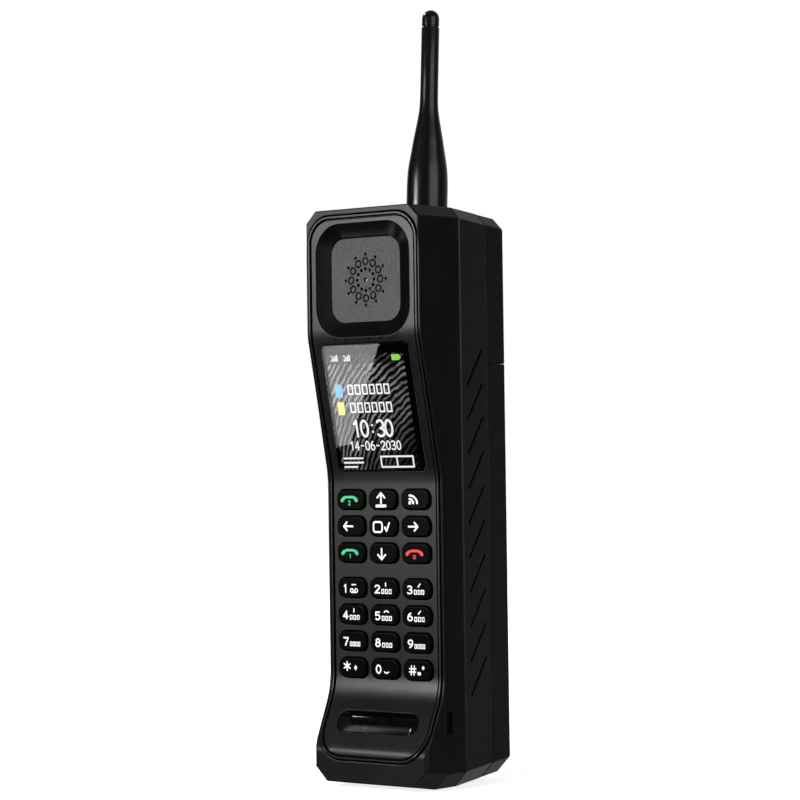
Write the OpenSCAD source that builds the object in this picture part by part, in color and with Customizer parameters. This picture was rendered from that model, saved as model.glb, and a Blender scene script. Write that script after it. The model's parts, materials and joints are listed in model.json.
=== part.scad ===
// Brick cell phone: a tall handset with a stub antenna, a dished earpiece, a sloped display,
// 21 keys and a mouthpiece that stands forward at the foot.
// Millimetres. X runs to the right as seen from the front, the front faces -Y and Z points up.
// The origin lies on the standing face, under the middle of the body.

/* [Body] */
// Greatest width, at the parting line between the front and rear housings
body_w = 50.2; // [49.6:0.2:54]
// Height of the body without the antenna
body_h = 193.7; // [190:0.1:202]
// Depth from the earpiece rim to the back
body_d = 49; // [48:0.2:51]
// Thickness of the side walls
wall = 2; // [1.6:0.1:2.2]
// Taper of both housings away from the parting line, in degrees
draft = 3; // [2:0.5:3.5]
// Fall of the rear half's top towards the back, in degrees
top_fall = 4.7; // [3:0.1:5]
// Rise of the rear half's foot towards the back, in degrees
base_rise = 5.2; // [4:0.1:6]
// Chamfer of the two upper corners
top_chamfer = 4; // [3:0.5:5]
// Chamfer of the two lower corners
base_chamfer = 5.5; // [4:0.5:6]
// Bevel round the rear face
rear_bevel = 1; // [0.8:0.1:1.8]

/* [Front] */
// How far the keypad lies behind the earpiece rim
keypad_setback = 10.3; // [9.8:0.1:10.6]
// How far the foot of the mouthpiece lies behind the earpiece rim
mouth_setback = 0.6; // [0.4:0.1:1.6]
// Height of the mouthpiece ridge
ridge_z = 12.5; // [12:0.5:14]
// Height where the mouthpiece slope meets the keypad
slope_foot_z = 33; // [32:0.5:33.5]
// Height of the keypad's upper end
keypad_top_z = 103.8; // [103:0.1:105]
// Thickness of the fascia plate
fascia_t = 1; // [0.8:0.1:1.1]
// Width of the raised bead round the fascia
bead_w = 0.9; // [0.7:0.1:1.1]

/* [Keys] */
// Width of a keycap
key_w = 11.9; // [11:0.1:12.4]
// Height of a keycap
key_h = 6.8; // [6:0.1:7.4]
// How far a keycap stands out of the fascia
key_rise = 1.1; // [0.8:0.1:1.5]
// How far a key moves when it is pressed
key_travel = 0.4; // [0.2:0.05:0.4]

/* [Display] */
// Width of the display lens
lens_w = 37.6; // [36:0.2:37.8]
// Height of the display lens, along the slope
lens_h = 43.8; // [41:0.2:44]

/* [Earpiece] */
// Width of the earpiece recess
ear_w = 39.7; // [38:0.1:40]
// Height of the earpiece recess
ear_h = 37.9; // [36:0.1:38.2]
// Depth of the earpiece pad under the fascia
ear_depth = 2; // [1.6:0.1:3]

/* [Antenna] */
// Length of the antenna above the body
antenna_len = 70; // [60:1:90]
// Diameter of the antenna's thick lower end
antenna_base_d = 14; // [13:0.1:14.2]
// Diameter of the antenna's thin upper end
antenna_tip_d = 6.1; // [5:0.1:7]
// Lean of the antenna towards the back, in degrees
antenna_lean = 3.2; // [0:0.2:4]

/* [Battery] */
// Depth of the battery pack
battery_d = 11.8; // [11:0.1:12.2]
// Height of the line between the battery pack and the upper rear cover
split_z = 141.6; // [139:0.2:144]

/* [Hidden] */
BLACK = [0.06, 0.06, 0.065];
GREY = [0.16, 0.16, 0.17];
PAD_GREY = [0.3, 0.3, 0.31];
GLASS = [0.1, 0.12, 0.14];
KEY_BLACK = [0.03, 0.03, 0.03];
RUBBER = [0.4, 0.4, 0.42];
BOARD_GREEN = [0.1, 0.35, 0.18];
STEEL = [0.7, 0.7, 0.72];
BRASS = [0.8, 0.65, 0.3];
CELL_BLUE = [0.2, 0.3, 0.6];

KEY_NAMES = [
    "key_call_two", "key_up", "key_menu",
    "key_left", "key_select", "key_right",
    "key_call_one", "key_down", "key_end",
    "key_1", "key_2", "key_3",
    "key_4", "key_5", "key_6",
    "key_7", "key_8", "key_9",
    "key_star", "key_0", "key_hash"
];

$fn = 48;
corner_fn = 24;
// Length by which a cutter runs past the face it cuts
over = 1;
// Gaps between pieces: a slip fit and a bare touch
slip = 0.1;
touch = 0.05;

// Main planes from front to back
ear_y = -body_d / 2;
rear_y = body_d / 2;
key_y = ear_y + keypad_setback;
mouth_y = ear_y + mouth_setback;
seam_setback = 21.2;
seam_y = ear_y + seam_setback;
back_seam_y = rear_y - battery_d;
flat_setback = 11.8;
flat_front_y = ear_y + flat_setback;
half_max = body_w / 2;
foot_rise_front = 1.8;

// Layers of the front wall, counted inward from the top of the bead
rim_d = 0.4;
fascia_back_d = rim_d + fascia_t;
inner_skin = 1;
front_wall_d = fascia_back_d + inner_skin;

function half_at(y) = half_max - tan(draft) * abs(y - seam_y);
function top_at(y) = body_h - tan(top_fall) * max(0, y - seam_y);
function base_at(y) =
    y < flat_front_y ? foot_rise_front * (flat_front_y - y) / (flat_front_y - mouth_y) :
    tan(base_rise) * max(0, y - seam_y);

// Chamfered outline of the body at one depth; an inset keeps the chamfer's wall even
function outline(y, inset) =
    let (half = half_at(y) - inset, low = base_at(y) + inset, high = top_at(y) - inset,
         cut = inset * (2 - sqrt(2)), c_low = base_chamfer - cut, c_high = top_chamfer - cut)
    [[half - c_low, y, low], [half, y, low + c_low],
     [half, y, high - c_high], [half - c_high, y, high],
     [c_high - half, y, high], [-half, y, high - c_high],
     [-half, y, low + c_low], [c_low - half, y, low]];

// Solid through the body's outlines at a list of [depth, inset] stations
module body_block(stations) {
    sides = 8;
    last = len(stations) - 1;
    polyhedron(
        points = [for (s = stations) each outline(s[0], s[1])],
        faces = concat(
            [[for (i = [sides - 1:-1:0]) i]],
            [for (s = [0:last - 1], i = [0:sides - 1])
                let (n = (i + 1) % sides)
                [s * sides + i, s * sides + n, (s + 1) * sides + n, (s + 1) * sides + i]],
            [[for (i = [0:sides - 1]) last * sides + i]]
        )
    );
}

// A shape given in x and z, as a solid from y0 to y1
module front_solid(y0, y1) {
    translate([0, y1, 0]) rotate([90, 0, 0]) linear_extrude(y1 - y0) children();
}

// A shape given in y and z, as a solid centred on the middle plane
module side_solid(width) {
    rotate([90, 0, 90]) linear_extrude(width, center = true) children();
}

module rounded(w, h, r) {
    offset(r = r, $fn = corner_fn) square([w - 2 * r, h - 2 * r], center = true);
}

// Side profile of the front: foot, mouthpiece, keypad, display slope and earpiece
ear_face_h = 42.5;
ear_low_z = body_h - ear_face_h;
ridge_r = 6;
slope_foot_r = 22;
display_r = 24;
arc_steps = 5;

function unit(v) = v / norm(v);
function arc(a, b, c, r) =
    let (u = unit(a - b), v = unit(c - b), half_angle = acos(u * v) / 2,
         centre = b + unit(u + v) * r / sin(half_angle), reach = r / tan(half_angle),
         from = b + u * reach - centre, to = b + v * reach - centre,
         start = atan2(from[1], from[0]), turn = atan2(to[1], to[0]) - start,
         sweep = turn > 180 ? turn - 360 : turn < -180 ? turn + 360 : turn)
    [for (i = [0:arc_steps]) let (t = start + sweep * i / arc_steps) centre + r * [cos(t), sin(t)]];

profile_margin = 10;
profile_foot = [mouth_y, -profile_margin];
profile_ridge = [mouth_y, ridge_z];
profile_low = [key_y, slope_foot_z];
profile_high = [key_y, keypad_top_z];
profile_ear = [ear_y, ear_low_z];
profile_top = [ear_y, body_h + profile_margin];
profile_back = rear_y + profile_margin;
profile_points = concat(
    [profile_foot],
    arc(profile_foot, profile_ridge, profile_low, ridge_r),
    arc(profile_ridge, profile_low, profile_high, slope_foot_r),
    arc(profile_low, profile_high, profile_ear, display_r),
    arc(profile_high, profile_ear, profile_top, display_r),
    [profile_top, [profile_back, body_h + profile_margin], [profile_back, -profile_margin]]
);

// Everything behind the front profile, moved inward by depth
module behind_front(depth) {
    side_solid(body_w + 2 * over) offset(delta = -depth) polygon(profile_points);
}

// Outline of the fascia, rounder at its foot than at its top
fascia_margin = 0.5;
fascia_half = half_at(ear_y) - fascia_margin;
fascia_low_z = 9;
fascia_high_z = body_h - 1.8;
fascia_high_r = 9.5;
fascia_low_r = 11;
fascia_gap = 0.3;
groove_ring_w = 0.45;
groove_ring_d = 0.4;
module fascia_outline(inset) {
    half = fascia_half - inset;
    high_r = fascia_high_r - inset;
    low_r = fascia_low_r - inset;
    hull()
        for (side = [-1, 1]) {
            translate([side * (half - high_r), fascia_high_z - inset - high_r]) circle(high_r);
            translate([side * (half - low_r), fascia_low_z + inset + low_r]) circle(low_r);
        }
}
// Band of the fascia between two insets of its outline, down to a depth under the bead's top
module fascia_band(inset, width, depth) {
    difference() {
        intersection() {
            front_solid(ear_y - over, seam_y) difference() {
                fascia_outline(inset);
                fascia_outline(inset + width);
            }
            behind_front(0);
        }
        behind_front(depth);
    }
}

// Rounding of the two front edges of the mouthpiece
foot_edge_r = 2.6;
module foot_edge_cut() {
    for (side = [-1, 1])
        translate([side * (half_at(mouth_y + foot_edge_r) - foot_edge_r), mouth_y + foot_edge_r, -over])
            linear_extrude(slope_foot_z) difference() {
                translate([side * foot_edge_r, -foot_edge_r]) square(2 * foot_edge_r, center = true);
                circle(foot_edge_r);
            }
}

// Display slope: local x to the right, y up the slope, z out of the fascia's surface
slope_tilt = atan2(keypad_setback, ear_low_z - keypad_top_z);
lens_shift = -0.6;
module on_slope() {
    translate([0, (key_y + ear_y) / 2, (keypad_top_z + ear_low_z) / 2])
        rotate([90 + slope_tilt, 0, 0]) translate([0, lens_shift, -rim_d]) children();
}

// Mouthpiece slope, with its origin in the middle of the scoop
mouth_tilt = atan2(key_y - mouth_y, slope_foot_z - ridge_z);
scoop_shift = -0.9;
module on_mouth() {
    translate([0, (key_y + mouth_y) / 2, (slope_foot_z + ridge_z) / 2])
        rotate([90 - mouth_tilt, 0, 0]) translate([0, scoop_shift, -rim_d]) children();
}

// Earpiece: local x to the right, y up, z out of the fascia's surface
ear_drop = 24;
ear_z = body_h - ear_drop;
module on_ear() {
    translate([0, ear_y + rim_d, ear_z]) rotate([90, 0, 0]) children();
}

// Keys: columns from left to right, the three upper rows apart from the four lower ones
key_pitch_x = 13.8;
key_pitch_z = 8.98;
key_upper_z = 96.1;
key_lower_z = 66.3;
key_r = 2.7;
key_gap = 0.2;
key_flange = 0.5;
key_edge = 0.45;
flange_t = 0.5;
fascia_y = key_y + rim_d;
flange_y = key_y + front_wall_d + touch;
dome_room = 1.55;
board_y = flange_y + dome_room;
board_t = 1.2;
board_back_y = board_y + board_t;
dome_h = 0.25;
dome_d = 5;
stem_d = 3;
stem_end_y = board_y - dome_h - key_travel - touch;

function key_x(i) = (i % 3 - 1) * key_pitch_x;
function key_z(i) =
    let (row = floor(i / 3))
    row < 3 ? key_upper_z - row * key_pitch_z : key_lower_z - (row - 3) * key_pitch_z;
module at_keys() {
    for (i = [0:len(KEY_NAMES) - 1])
        translate([key_x(i), 0, key_z(i)]) children();
}
module key_openings() {
    front_solid(key_y - over, flange_y + over)
        for (i = [0:len(KEY_NAMES) - 1])
            translate([key_x(i), key_z(i)])
                rounded(key_w + 2 * key_gap, key_h + 2 * key_gap, key_r + key_gap);
}

// Cutter through the front wall, drawn in the plane of the earpiece, the display or the mouthpiece
module wall_cut() {
    translate([0, 0, -front_wall_d - over]) linear_extrude(front_wall_d + 2 * over) children();
}

// Screws that hold the board to the front wall
board_screw_x = 16;
board_screw_z = [72.2, 30.5];
board_boss_d = 3.6;
board_boss_h = 6;
board_shank_d = 1.5;
board_screw_reach = 1.5;
module at_board_screws() {
    for (x = [-board_screw_x, board_screw_x], z = board_screw_z)
        translate([x, 0, z]) rotate([90, 0, 0]) children();
}

// Screws that draw the two housings together
lug_x = 19.6;
lug_z = [20, 110, body_h - 13.5];
lug_depth = 5.2;
lug_front_y = seam_y - lug_depth;
lug_reach = 3.2;
lug_root = 0.6;
screw_reach = 4.2;
screw_hole = screw_reach + 0.4;
screw_play = 0.4;
shank_d = 2.4;
head_d = 4.6;
head_t = 1.8;
head_sunk = 2.2;
head_seat_y = back_seam_y - head_sunk;
module at_lugs() {
    for (x = [-lug_x, lug_x], z = lug_z)
        translate([x, 0, z]) children();
}
// Block between a screw and the side wall
module lug(y0, y1) {
    outward = half_at(y0) - wall + lug_root;
    for (side = [-1, 1], z = lug_z)
        translate([side > 0 ? lug_x - lug_reach : -outward, y0, z - lug_reach])
            cube([outward - lug_x + lug_reach, y1 - y0, 2 * lug_reach]);
}

// Charging receptacle on the front of the board, at its right edge
port_z = 22.3;
port_w = 7.2;
port_t = 2.3;
port_gap = 0.15;
port_inset = 2.2;
port_out_x = half_at(board_y) - port_inset;
port_len = 5.6;
port_y = board_y - port_t;

// Loose fit of the pegs in their sockets
peg_d = 4.2;
socket_d = 4.6;
peg_x = 12;
peg_reach = 1.5;
battery_peg_z = [22, 128];
cover_peg_z = [split_z + 8, body_h - 13];

// Contacts between the rear housing and the battery
contact_z = split_z - 27;
contact_w = 20;
contact_h = 7;
contact_pitch = 6;
contact_d = 1.6;
contact_pad_w = 4;
contact_pad_h = 5;

// Antenna axis
antenna_x = 5.6;
antenna_setback = 29.2;
antenna_y = ear_y + antenna_setback;
antenna_seat = -0.5;
boss_depth = 12;
boss_d = 13;
bush_d = 9;
bush_bore_d = 6.3;
spigot_d = 6.2;
collar_d = 11;
collar_top = 2;
rod_d = 2;
rod_short = 2.9;
tip_len = 6;
module on_antenna() {
    translate([antenna_x, antenna_y, top_at(antenna_y)]) rotate([-antenna_lean, 0, 0]) children();
}

// Grip grooves in the sides of the rear housing
groove_count = 10;
groove_pitch = 11.53;
groove_first_z = 36.4;
groove_len = 15.4;
groove_w = 1;
groove_depth = 0.8;
groove_angle = 53;
groove_setback = 8.2;
groove_y = seam_y + groove_setback;

module front_housing() {
    color(BLACK) difference() {
        union() {
            difference() {
                intersection() {
                    body_block([[ear_y, 0], [flat_front_y, 0], [seam_y, 0]]);
                    behind_front(rim_d);
                }
                intersection() {
                    body_block([[ear_y, wall], [flat_front_y, wall], [seam_y, wall], [seam_y + over, wall]]);
                    behind_front(front_wall_d);
                }
            }
            lug(lug_front_y, seam_y);
            intersection() {
                at_board_screws() translate([0, 0, -board_y]) cylinder(d = board_boss_d, h = board_boss_h);
                behind_front(fascia_back_d);
            }
        }
        difference() {
            front_solid(ear_y - over, seam_y) fascia_outline(0);
            behind_front(fascia_back_d);
        }
        key_openings();
        on_ear() wall_cut() rounded(ear_w, ear_h, ear_r);
        on_slope() wall_cut() rounded(view_w, view_h, view_r);
        on_mouth() wall_cut() pill(scoop_w, scoop_h);
        foot_edge_cut();
        at_lugs() translate([0, seam_y + over, 0]) rotate([90, 0, 0])
            cylinder(d = shank_d + slip, h = screw_hole + over);
        at_board_screws() translate([0, 0, -board_y - over])
            cylinder(d = board_shank_d + slip, h = board_screw_reach + slip + over);
        translate([port_out_x - port_len, port_y - port_gap, port_z - port_w / 2 - port_gap])
            cube([half_max + over - port_out_x + port_len, port_t + 2 * port_gap, port_w + 2 * port_gap]);
    }
}

module front_fascia() {
    bead_root = rim_d + fascia_t / 2;
    color(GREY) difference() {
        union() {
            difference() {
                intersection() {
                    front_solid(ear_y - over, seam_y) fascia_outline(fascia_gap);
                    behind_front(rim_d);
                }
                behind_front(fascia_back_d);
            }
            fascia_band(fascia_gap, bead_w, bead_root);
        }
        fascia_band(fascia_gap + bead_w, groove_ring_w, rim_d + groove_ring_d);
        key_openings();
        on_ear() wall_cut() rounded(ear_w, ear_h, ear_r);
        on_slope() wall_cut() rounded(lens_w + 2 * slip, lens_h + 2 * slip, lens_r + slip);
        on_mouth() wall_cut() pill(scoop_w, scoop_h);
    }
}

// Dished frame round the earpiece pad
ear_r = 10;
ear_wall_x = 5.2;
ear_wall_z = 4.8;
pad_w = ear_w - 2 * ear_wall_x;
pad_h = ear_h - 2 * ear_wall_z;
pad_r = 5.5;
pad_t = 1.2;
recess_floor_t = 0.8;
sound_d = 22;
module earpiece_recess() {
    ledge = 0.3;
    skirt = 0.4;
    flare_out = 0.7;
    floor_z = -ear_depth - pad_t;
    color(BLACK) on_ear() difference() {
        translate([0, 0, floor_z - recess_floor_t]) linear_extrude(recess_floor_t - floor_z - rim_d / 2)
            rounded(ear_w - 2 * slip, ear_h - 2 * slip, ear_r - slip);
        hull() {
            translate([0, 0, -ear_depth]) linear_extrude(skirt)
                rounded(pad_w + 2 * ledge, pad_h + 2 * ledge, pad_r + ledge);
            translate([0, 0, over]) linear_extrude(skirt)
                rounded(ear_w + 2 * flare_out, ear_h + 2 * flare_out, ear_r + flare_out);
        }
        translate([0, 0, floor_z]) linear_extrude(pad_t + over) rounded(pad_w, pad_h, pad_r);
        translate([0, 0, floor_z - recess_floor_t - over])
            cylinder(d = sound_d, h = recess_floor_t + 2 * over);
    }
}

// Pad with two rings of openings and a ring of round marks between them, about a middle hole
ring_count = 12;
middle_hole_d = 1.5;
inner_ring_r = 3.6;
inner_hole_d = 1.2;
mark_ring_r = 6.2;
mark_d = 2.8;
mark_inner_d = 1.6;
mark_depth = 0.8;
outer_ring_r = 8.5;
outer_hole_d = 1.1;
module ring_of(r) {
    for (i = [0:ring_count - 1])
        rotate([0, 0, 360 / ring_count * i]) translate([r, 0, 0]) children();
}
module earpiece_grille() {
    color(PAD_GREY) on_ear() translate([0, 0, -ear_depth - pad_t]) difference() {
        linear_extrude(pad_t) rounded(pad_w - 2 * slip, pad_h - 2 * slip, pad_r - slip);
        translate([0, 0, -over]) cylinder(d = middle_hole_d, h = pad_t + 2 * over);
        ring_of(inner_ring_r) translate([0, 0, -over]) cylinder(d = inner_hole_d, h = pad_t + 2 * over);
        ring_of(mark_ring_r) translate([0, 0, pad_t - mark_depth]) difference() {
            cylinder(d = mark_d, h = over);
            translate([0, 0, -over]) cylinder(d = mark_inner_d, h = 3 * over);
        }
        ring_of(outer_ring_r) translate([0, 0, -over]) cylinder(d = outer_hole_d, h = pad_t + 2 * over);
    }
}

gasket_t = 0.6;
gasket_edge = 3;
gasket_lip = 1;
gasket_z = -ear_depth - pad_t - recess_floor_t - gasket_t - touch;
module receiver_gasket() {
    color(RUBBER) on_ear() translate([0, 0, gasket_z]) difference() {
        cylinder(d = sound_d + gasket_edge, h = gasket_t);
        translate([0, 0, -over]) cylinder(d = sound_d - gasket_lip, h = gasket_t + 2 * over);
    }
}

module earpiece_receiver() {
    basket_t = 2.4;
    dish = 0.8;
    cap_t = 0.4;
    magnet_t = 2;
    magnet_d = 15;
    color(STEEL) on_ear() translate([0, 0, gasket_z - basket_t]) {
        difference() {
            cylinder(d = sound_d + gasket_edge, h = basket_t);
            translate([0, 0, basket_t - dish]) cylinder(d = sound_d - gasket_lip, h = over);
        }
        translate([0, 0, -magnet_t]) cylinder(d = magnet_d, h = magnet_t);
        translate([0, 0, basket_t - dish - slip]) cylinder(d = sound_d / 2, h = cap_t + slip);
    }
}

// Display: picture film and lens on the front wall's ledge, panel and frame behind the wall
lens_r = 2.2;
lens_proud = 0.25;
film_t = 0.2;
film_z = touch - fascia_t;
lens_z = film_z + film_t + touch;
view_edge = 1.2;
view_w = lens_w - 2 * view_edge;
view_h = lens_h - 2 * view_edge;
view_r = 1;
panel_w = lens_w + 0.6;
panel_h = lens_h - 0.4;
panel_t = 1.6;
panel_z = -front_wall_d + rim_d - slip;
frame_t = 1.2;
module display_lens() {
    color(GLASS) on_slope() translate([0, 0, lens_z]) linear_extrude(lens_proud - lens_z)
        rounded(lens_w, lens_h, lens_r);
}
module display_film() {
    color(KEY_BLACK) on_slope() translate([0, 0, film_z]) linear_extrude(film_t)
        rounded(lens_w - 2 * slip, lens_h - 2 * slip, lens_r - slip);
}
module display_panel() {
    color(KEY_BLACK) on_slope() translate([0, 0, panel_z - panel_t]) linear_extrude(panel_t)
        square([panel_w, panel_h], center = true);
}
frame_side = 0.7;
module display_frame() {
    rim = 6;
    low_by = 0.3;
    color(STEEL) on_slope() translate([0, 0, panel_z - panel_t - frame_t]) difference() {
        linear_extrude(frame_t + panel_t - low_by)
            square([panel_w + 2 * frame_side, panel_h + 2 * frame_side], center = true);
        translate([0, 0, frame_t - touch]) linear_extrude(panel_t + over)
            square([panel_w + slip, panel_h + slip], center = true);
        translate([0, 0, -over]) linear_extrude(frame_t + 2 * over)
            square([panel_w - 2 * rim, panel_h - 2 * rim], center = true);
    }
}

// Ribbon from the back of the display frame down to the board, drawn along its middle line
module display_ribbon() {
    ribbon_w = 14;
    ribbon_t = 0.2;
    on_board = 6;
    on_frame = 7;
    back = rim_d - panel_z + panel_t + frame_t;
    low = panel_h / 2 + frame_side - lens_shift;
    corner = [(key_y + ear_y) / 2 + low * sin(slope_tilt) + back * cos(slope_tilt),
              (keypad_top_z + ear_low_z) / 2 - low * cos(slope_tilt) + back * sin(slope_tilt)];
    off = ribbon_t / 2 + slip;
    along = [-sin(slope_tilt), cos(slope_tilt)];
    line = [[board_back_y + off, board_high_z - on_board], [board_back_y + off, board_high_z + 1],
            corner + [2 * off, 0], corner + [2 * off, 0] + along, corner + [off, 0] + on_frame * along];
    color(BRASS) side_solid(ribbon_w)
        polygon(concat([for (p = line) p - [ribbon_t / 2, 0]],
                       [for (i = [len(line) - 1:-1:0]) line[i] + [ribbon_t / 2, 0]]));
}

module keycap(i) {
    color(KEY_BLACK) translate([key_x(i), 0, key_z(i)]) {
        hull() {
            front_solid(fascia_y - key_rise + key_edge, flange_y) rounded(key_w, key_h, key_r);
            front_solid(fascia_y - key_rise, fascia_y)
                rounded(key_w - 2 * key_edge, key_h - 2 * key_edge, key_r - key_edge);
        }
        front_solid(flange_y, flange_y + flange_t)
            rounded(key_w + 2 * key_flange, key_h + 2 * key_flange, key_r + key_flange);
        translate([0, stem_end_y, 0]) rotate([90, 0, 0])
            cylinder(d = stem_d, h = stem_end_y - flange_y);
    }
}

// Board and what stands on it
board_room = 0.5;
board_half = half_at(board_y) - wall - board_room;
board_low_z = 13;
board_high_z = 100.5;
mat_t = 0.6;
mat_edge = 1;
mat_low_z = 34.6;
mat_play = 0.6;
parts_x = -2;
module keypad_mat() {
    color(RUBBER) front_solid(board_y - mat_t, board_y) difference() {
        translate([0, (mat_low_z + board_high_z) / 2])
            rounded(2 * (board_half - mat_edge), board_high_z - mat_low_z, key_r);
        for (i = [0:len(KEY_NAMES) - 1])
            translate([key_x(i), key_z(i)]) circle(d = dome_d + mat_play);
        for (x = [-board_screw_x, board_screw_x])
            translate([x, board_screw_z[0]]) circle(d = board_boss_d + mat_play);
    }
}
module key_domes() {
    color(STEEL) at_keys() translate([0, board_y, 0]) rotate([90, 0, 0])
        cylinder(d1 = dome_d, d2 = dome_d / 2, h = dome_h);
}
module main_board() {
    color(BOARD_GREEN) front_solid(board_y, board_back_y) difference() {
        translate([0, (board_low_z + board_high_z) / 2])
            square([2 * board_half, board_high_z - board_low_z], center = true);
        for (x = [-board_screw_x, board_screw_x], z = board_screw_z)
            translate([x, z]) circle(d = board_shank_d + 2 * port_gap);
    }
}
module can(x, z, w, h) {
    can_t = 1.8;
    skin = 0.3;
    translate([x, 0, z]) difference() {
        front_solid(board_back_y, board_back_y + can_t) square([w, h], center = true);
        front_solid(board_back_y - over, board_back_y + can_t - skin)
            square([w - 2 * skin, h - 2 * skin], center = true);
    }
}
module shield_cans() {
    can_w = 21;
    low_z = 50;
    low_h = 24;
    high_z = 83;
    high_h = 16;
    color(STEEL) {
        can(parts_x, low_z, can_w, low_h);
        can(parts_x, high_z, can_w, high_h);
    }
}
module sim_holder() {
    holder_t = 2.2;
    holder_w = 24;
    holder_h = 16;
    holder_z = 23;
    skin = 0.6;
    color(STEEL) translate([parts_x, 0, holder_z]) difference() {
        front_solid(board_back_y, board_back_y + holder_t) square([holder_w, holder_h], center = true);
        front_solid(board_back_y + skin, board_back_y + holder_t - skin)
            translate([-2 * skin, 0]) square([holder_w, holder_h - 4 * skin], center = true);
    }
}
module vibration_motor() {
    motor_t = 2.7;
    motor_d = 8;
    motor_x = 14.2;
    motor_z = 52;
    color(STEEL) translate([motor_x, board_back_y + motor_t, motor_z]) rotate([90, 0, 0])
        cylinder(d = motor_d, h = motor_t);
}
module charging_receptacle() {
    skin = 0.3;
    tongue_t = 0.6;
    tongue_w = port_w - 3.2;
    tongue_short = 0.8;
    throat = port_len - 1.2;
    color(STEEL) translate([port_out_x - port_len, port_y, port_z]) {
        difference() {
            translate([0, 0, -port_w / 2]) cube([port_len, port_t, port_w]);
            translate([port_len - throat, skin, skin - port_w / 2])
                cube([throat + over, port_t - 2 * skin, port_w - 2 * skin]);
        }
        translate([port_len - throat - touch, (port_t - tongue_t) / 2, -tongue_w / 2])
            cube([throat - tongue_short, tongue_t, tongue_w]);
    }
}

// Mouthpiece scoop
scoop_w = 34.4;
scoop_h = 7.8;
scoop_depth = 2.4;
mic_x = 3.7;
module pill(w, h) {
    hull()
        for (side = [-1, 1])
            translate([side * (w - h) / 2, 0]) circle(d = h, $fn = 32);
}
scoop_skin = 0.8;
mic_hole_d = 1.2;
module mouthpiece_insert() {
    skirt = 0.2;
    floor_in = 4;
    color(BLACK) on_mouth() difference() {
        translate([0, 0, -scoop_depth - scoop_skin]) linear_extrude(scoop_depth + scoop_skin - touch)
            pill(scoop_w - 2 * slip, scoop_h - 2 * slip);
        hull() {
            translate([0, 0, -scoop_depth]) linear_extrude(skirt)
                pill(scoop_w - floor_in, scoop_h - floor_in);
            translate([0, 0, over]) linear_extrude(skirt) pill(scoop_w, scoop_h);
        }
        translate([mic_x, 0, -scoop_depth - scoop_skin - over])
            cylinder(d = mic_hole_d, h = scoop_skin + 2 * over);
    }
}
module microphone() {
    mic_t = 1.8;
    mic_d = 4.5;
    mic_well = 0.8;
    color(STEEL) on_mouth() translate([mic_x, 0, -scoop_depth - scoop_skin - touch - mic_t]) difference() {
        cylinder(d = mic_d, h = mic_t);
        translate([0, 0, mic_t - mic_well]) cylinder(d = mic_hole_d, h = over);
    }
}

module grip_grooves() {
    for (side = [-1, 1], i = [0:groove_count - 1])
        translate([side * half_at(groove_y), groove_y, groove_first_z + i * groove_pitch])
            rotate([0, 0, side * draft]) rotate([groove_angle, 0, 0])
                cube([2 * groove_depth, groove_len, groove_w], center = true);
}

// The rear housing's front edge is cut back along the parting line
seam_cut = 0.35;
seam_cut_d = 0.5;
module rear_housing() {
    outer = [[seam_y, seam_cut], [seam_y + seam_cut_d, 0], [back_seam_y, 0]];
    color(BLACK) difference() {
        union() {
            difference() {
                body_block(outer);
                body_block([[seam_y - over, wall], [seam_y, wall], [back_seam_y - wall, wall]]);
            }
            lug(seam_y, back_seam_y);
            intersection() {
                on_antenna() translate([0, 0, -boss_depth]) cylinder(d = boss_d, h = boss_depth + over);
                body_block(outer);
            }
        }
        grip_grooves();
        at_lugs() translate([0, back_seam_y + over, 0]) rotate([90, 0, 0])
            cylinder(d = shank_d + screw_play, h = back_seam_y - seam_y + 2 * over);
        at_lugs() translate([0, back_seam_y + over, 0]) rotate([90, 0, 0])
            cylinder(d = head_d + screw_play, h = back_seam_y - head_seat_y + over);
        for (x = [-peg_x, peg_x], z = concat(battery_peg_z, cover_peg_z))
            translate([x, back_seam_y + over, z]) rotate([90, 0, 0])
                cylinder(d = socket_d, h = wall + 2 * over);
        translate([0, 0, contact_z]) front_solid(back_seam_y - wall - over, back_seam_y + over)
            square([contact_w, contact_h], center = true);
        on_antenna() translate([0, 0, antenna_seat - slip])
            cylinder(d = antenna_base_d + 8 * slip, h = boss_depth);
        on_antenna() translate([0, 0, -boss_depth - over])
            cylinder(d = bush_d + slip, h = boss_depth + 2 * over);
    }
}

// Pad under the rising foot of the rear housing, so that the phone stands upright
module standing_foot() {
    pad_width = 22;
    front = seam_y + 5;
    back = back_seam_y - 1;
    color(RUBBER) side_solid(pad_width)
        polygon([[front, 0], [back, 0], [back, base_at(back) - touch], [front, base_at(front) - touch]]);
}

module contact_block() {
    block_behind = 2.5;
    block_front_y = back_seam_y - wall - block_behind;
    flange = 2;
    color(KEY_BLACK) translate([0, 0, contact_z]) difference() {
        union() {
            front_solid(block_front_y, back_seam_y - slip)
                square([contact_w - 2 * slip, contact_h - 2 * slip], center = true);
            front_solid(block_front_y, back_seam_y - wall - touch)
                square([contact_w + 2 * flange, contact_h + 2 * flange], center = true);
        }
        at_contacts() translate([0, 0, -back_seam_y - over])
            cylinder(d = contact_d + slip, h = wall + block_behind + 2 * over);
    }
}
module at_contacts() {
    for (i = [-1:1])
        translate([i * contact_pitch, 0, 0]) rotate([90, 0, 0]) children();
}
module contact_pins() {
    pin_len = wall + 3.4;
    head_step = 0.8;
    color(BRASS) translate([0, 0, contact_z]) at_contacts() translate([0, 0, -back_seam_y - touch]) {
        cylinder(d = contact_d, h = pin_len);
        translate([0, 0, pin_len - head_step + slip]) cylinder(d = contact_d + head_step, h = head_step);
    }
}

// Block of the upper or lower rear part, cut at the split line
split_gap = 0.12;
module rear_block(y0, inset, back, low, high) {
    intersection() {
        body_block([[y0, inset], [back - rear_bevel, inset], [back, inset + rear_bevel]]);
        translate([-body_w, 0, low]) cube([2 * body_w, rear_y + over, high - low]);
    }
}

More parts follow.
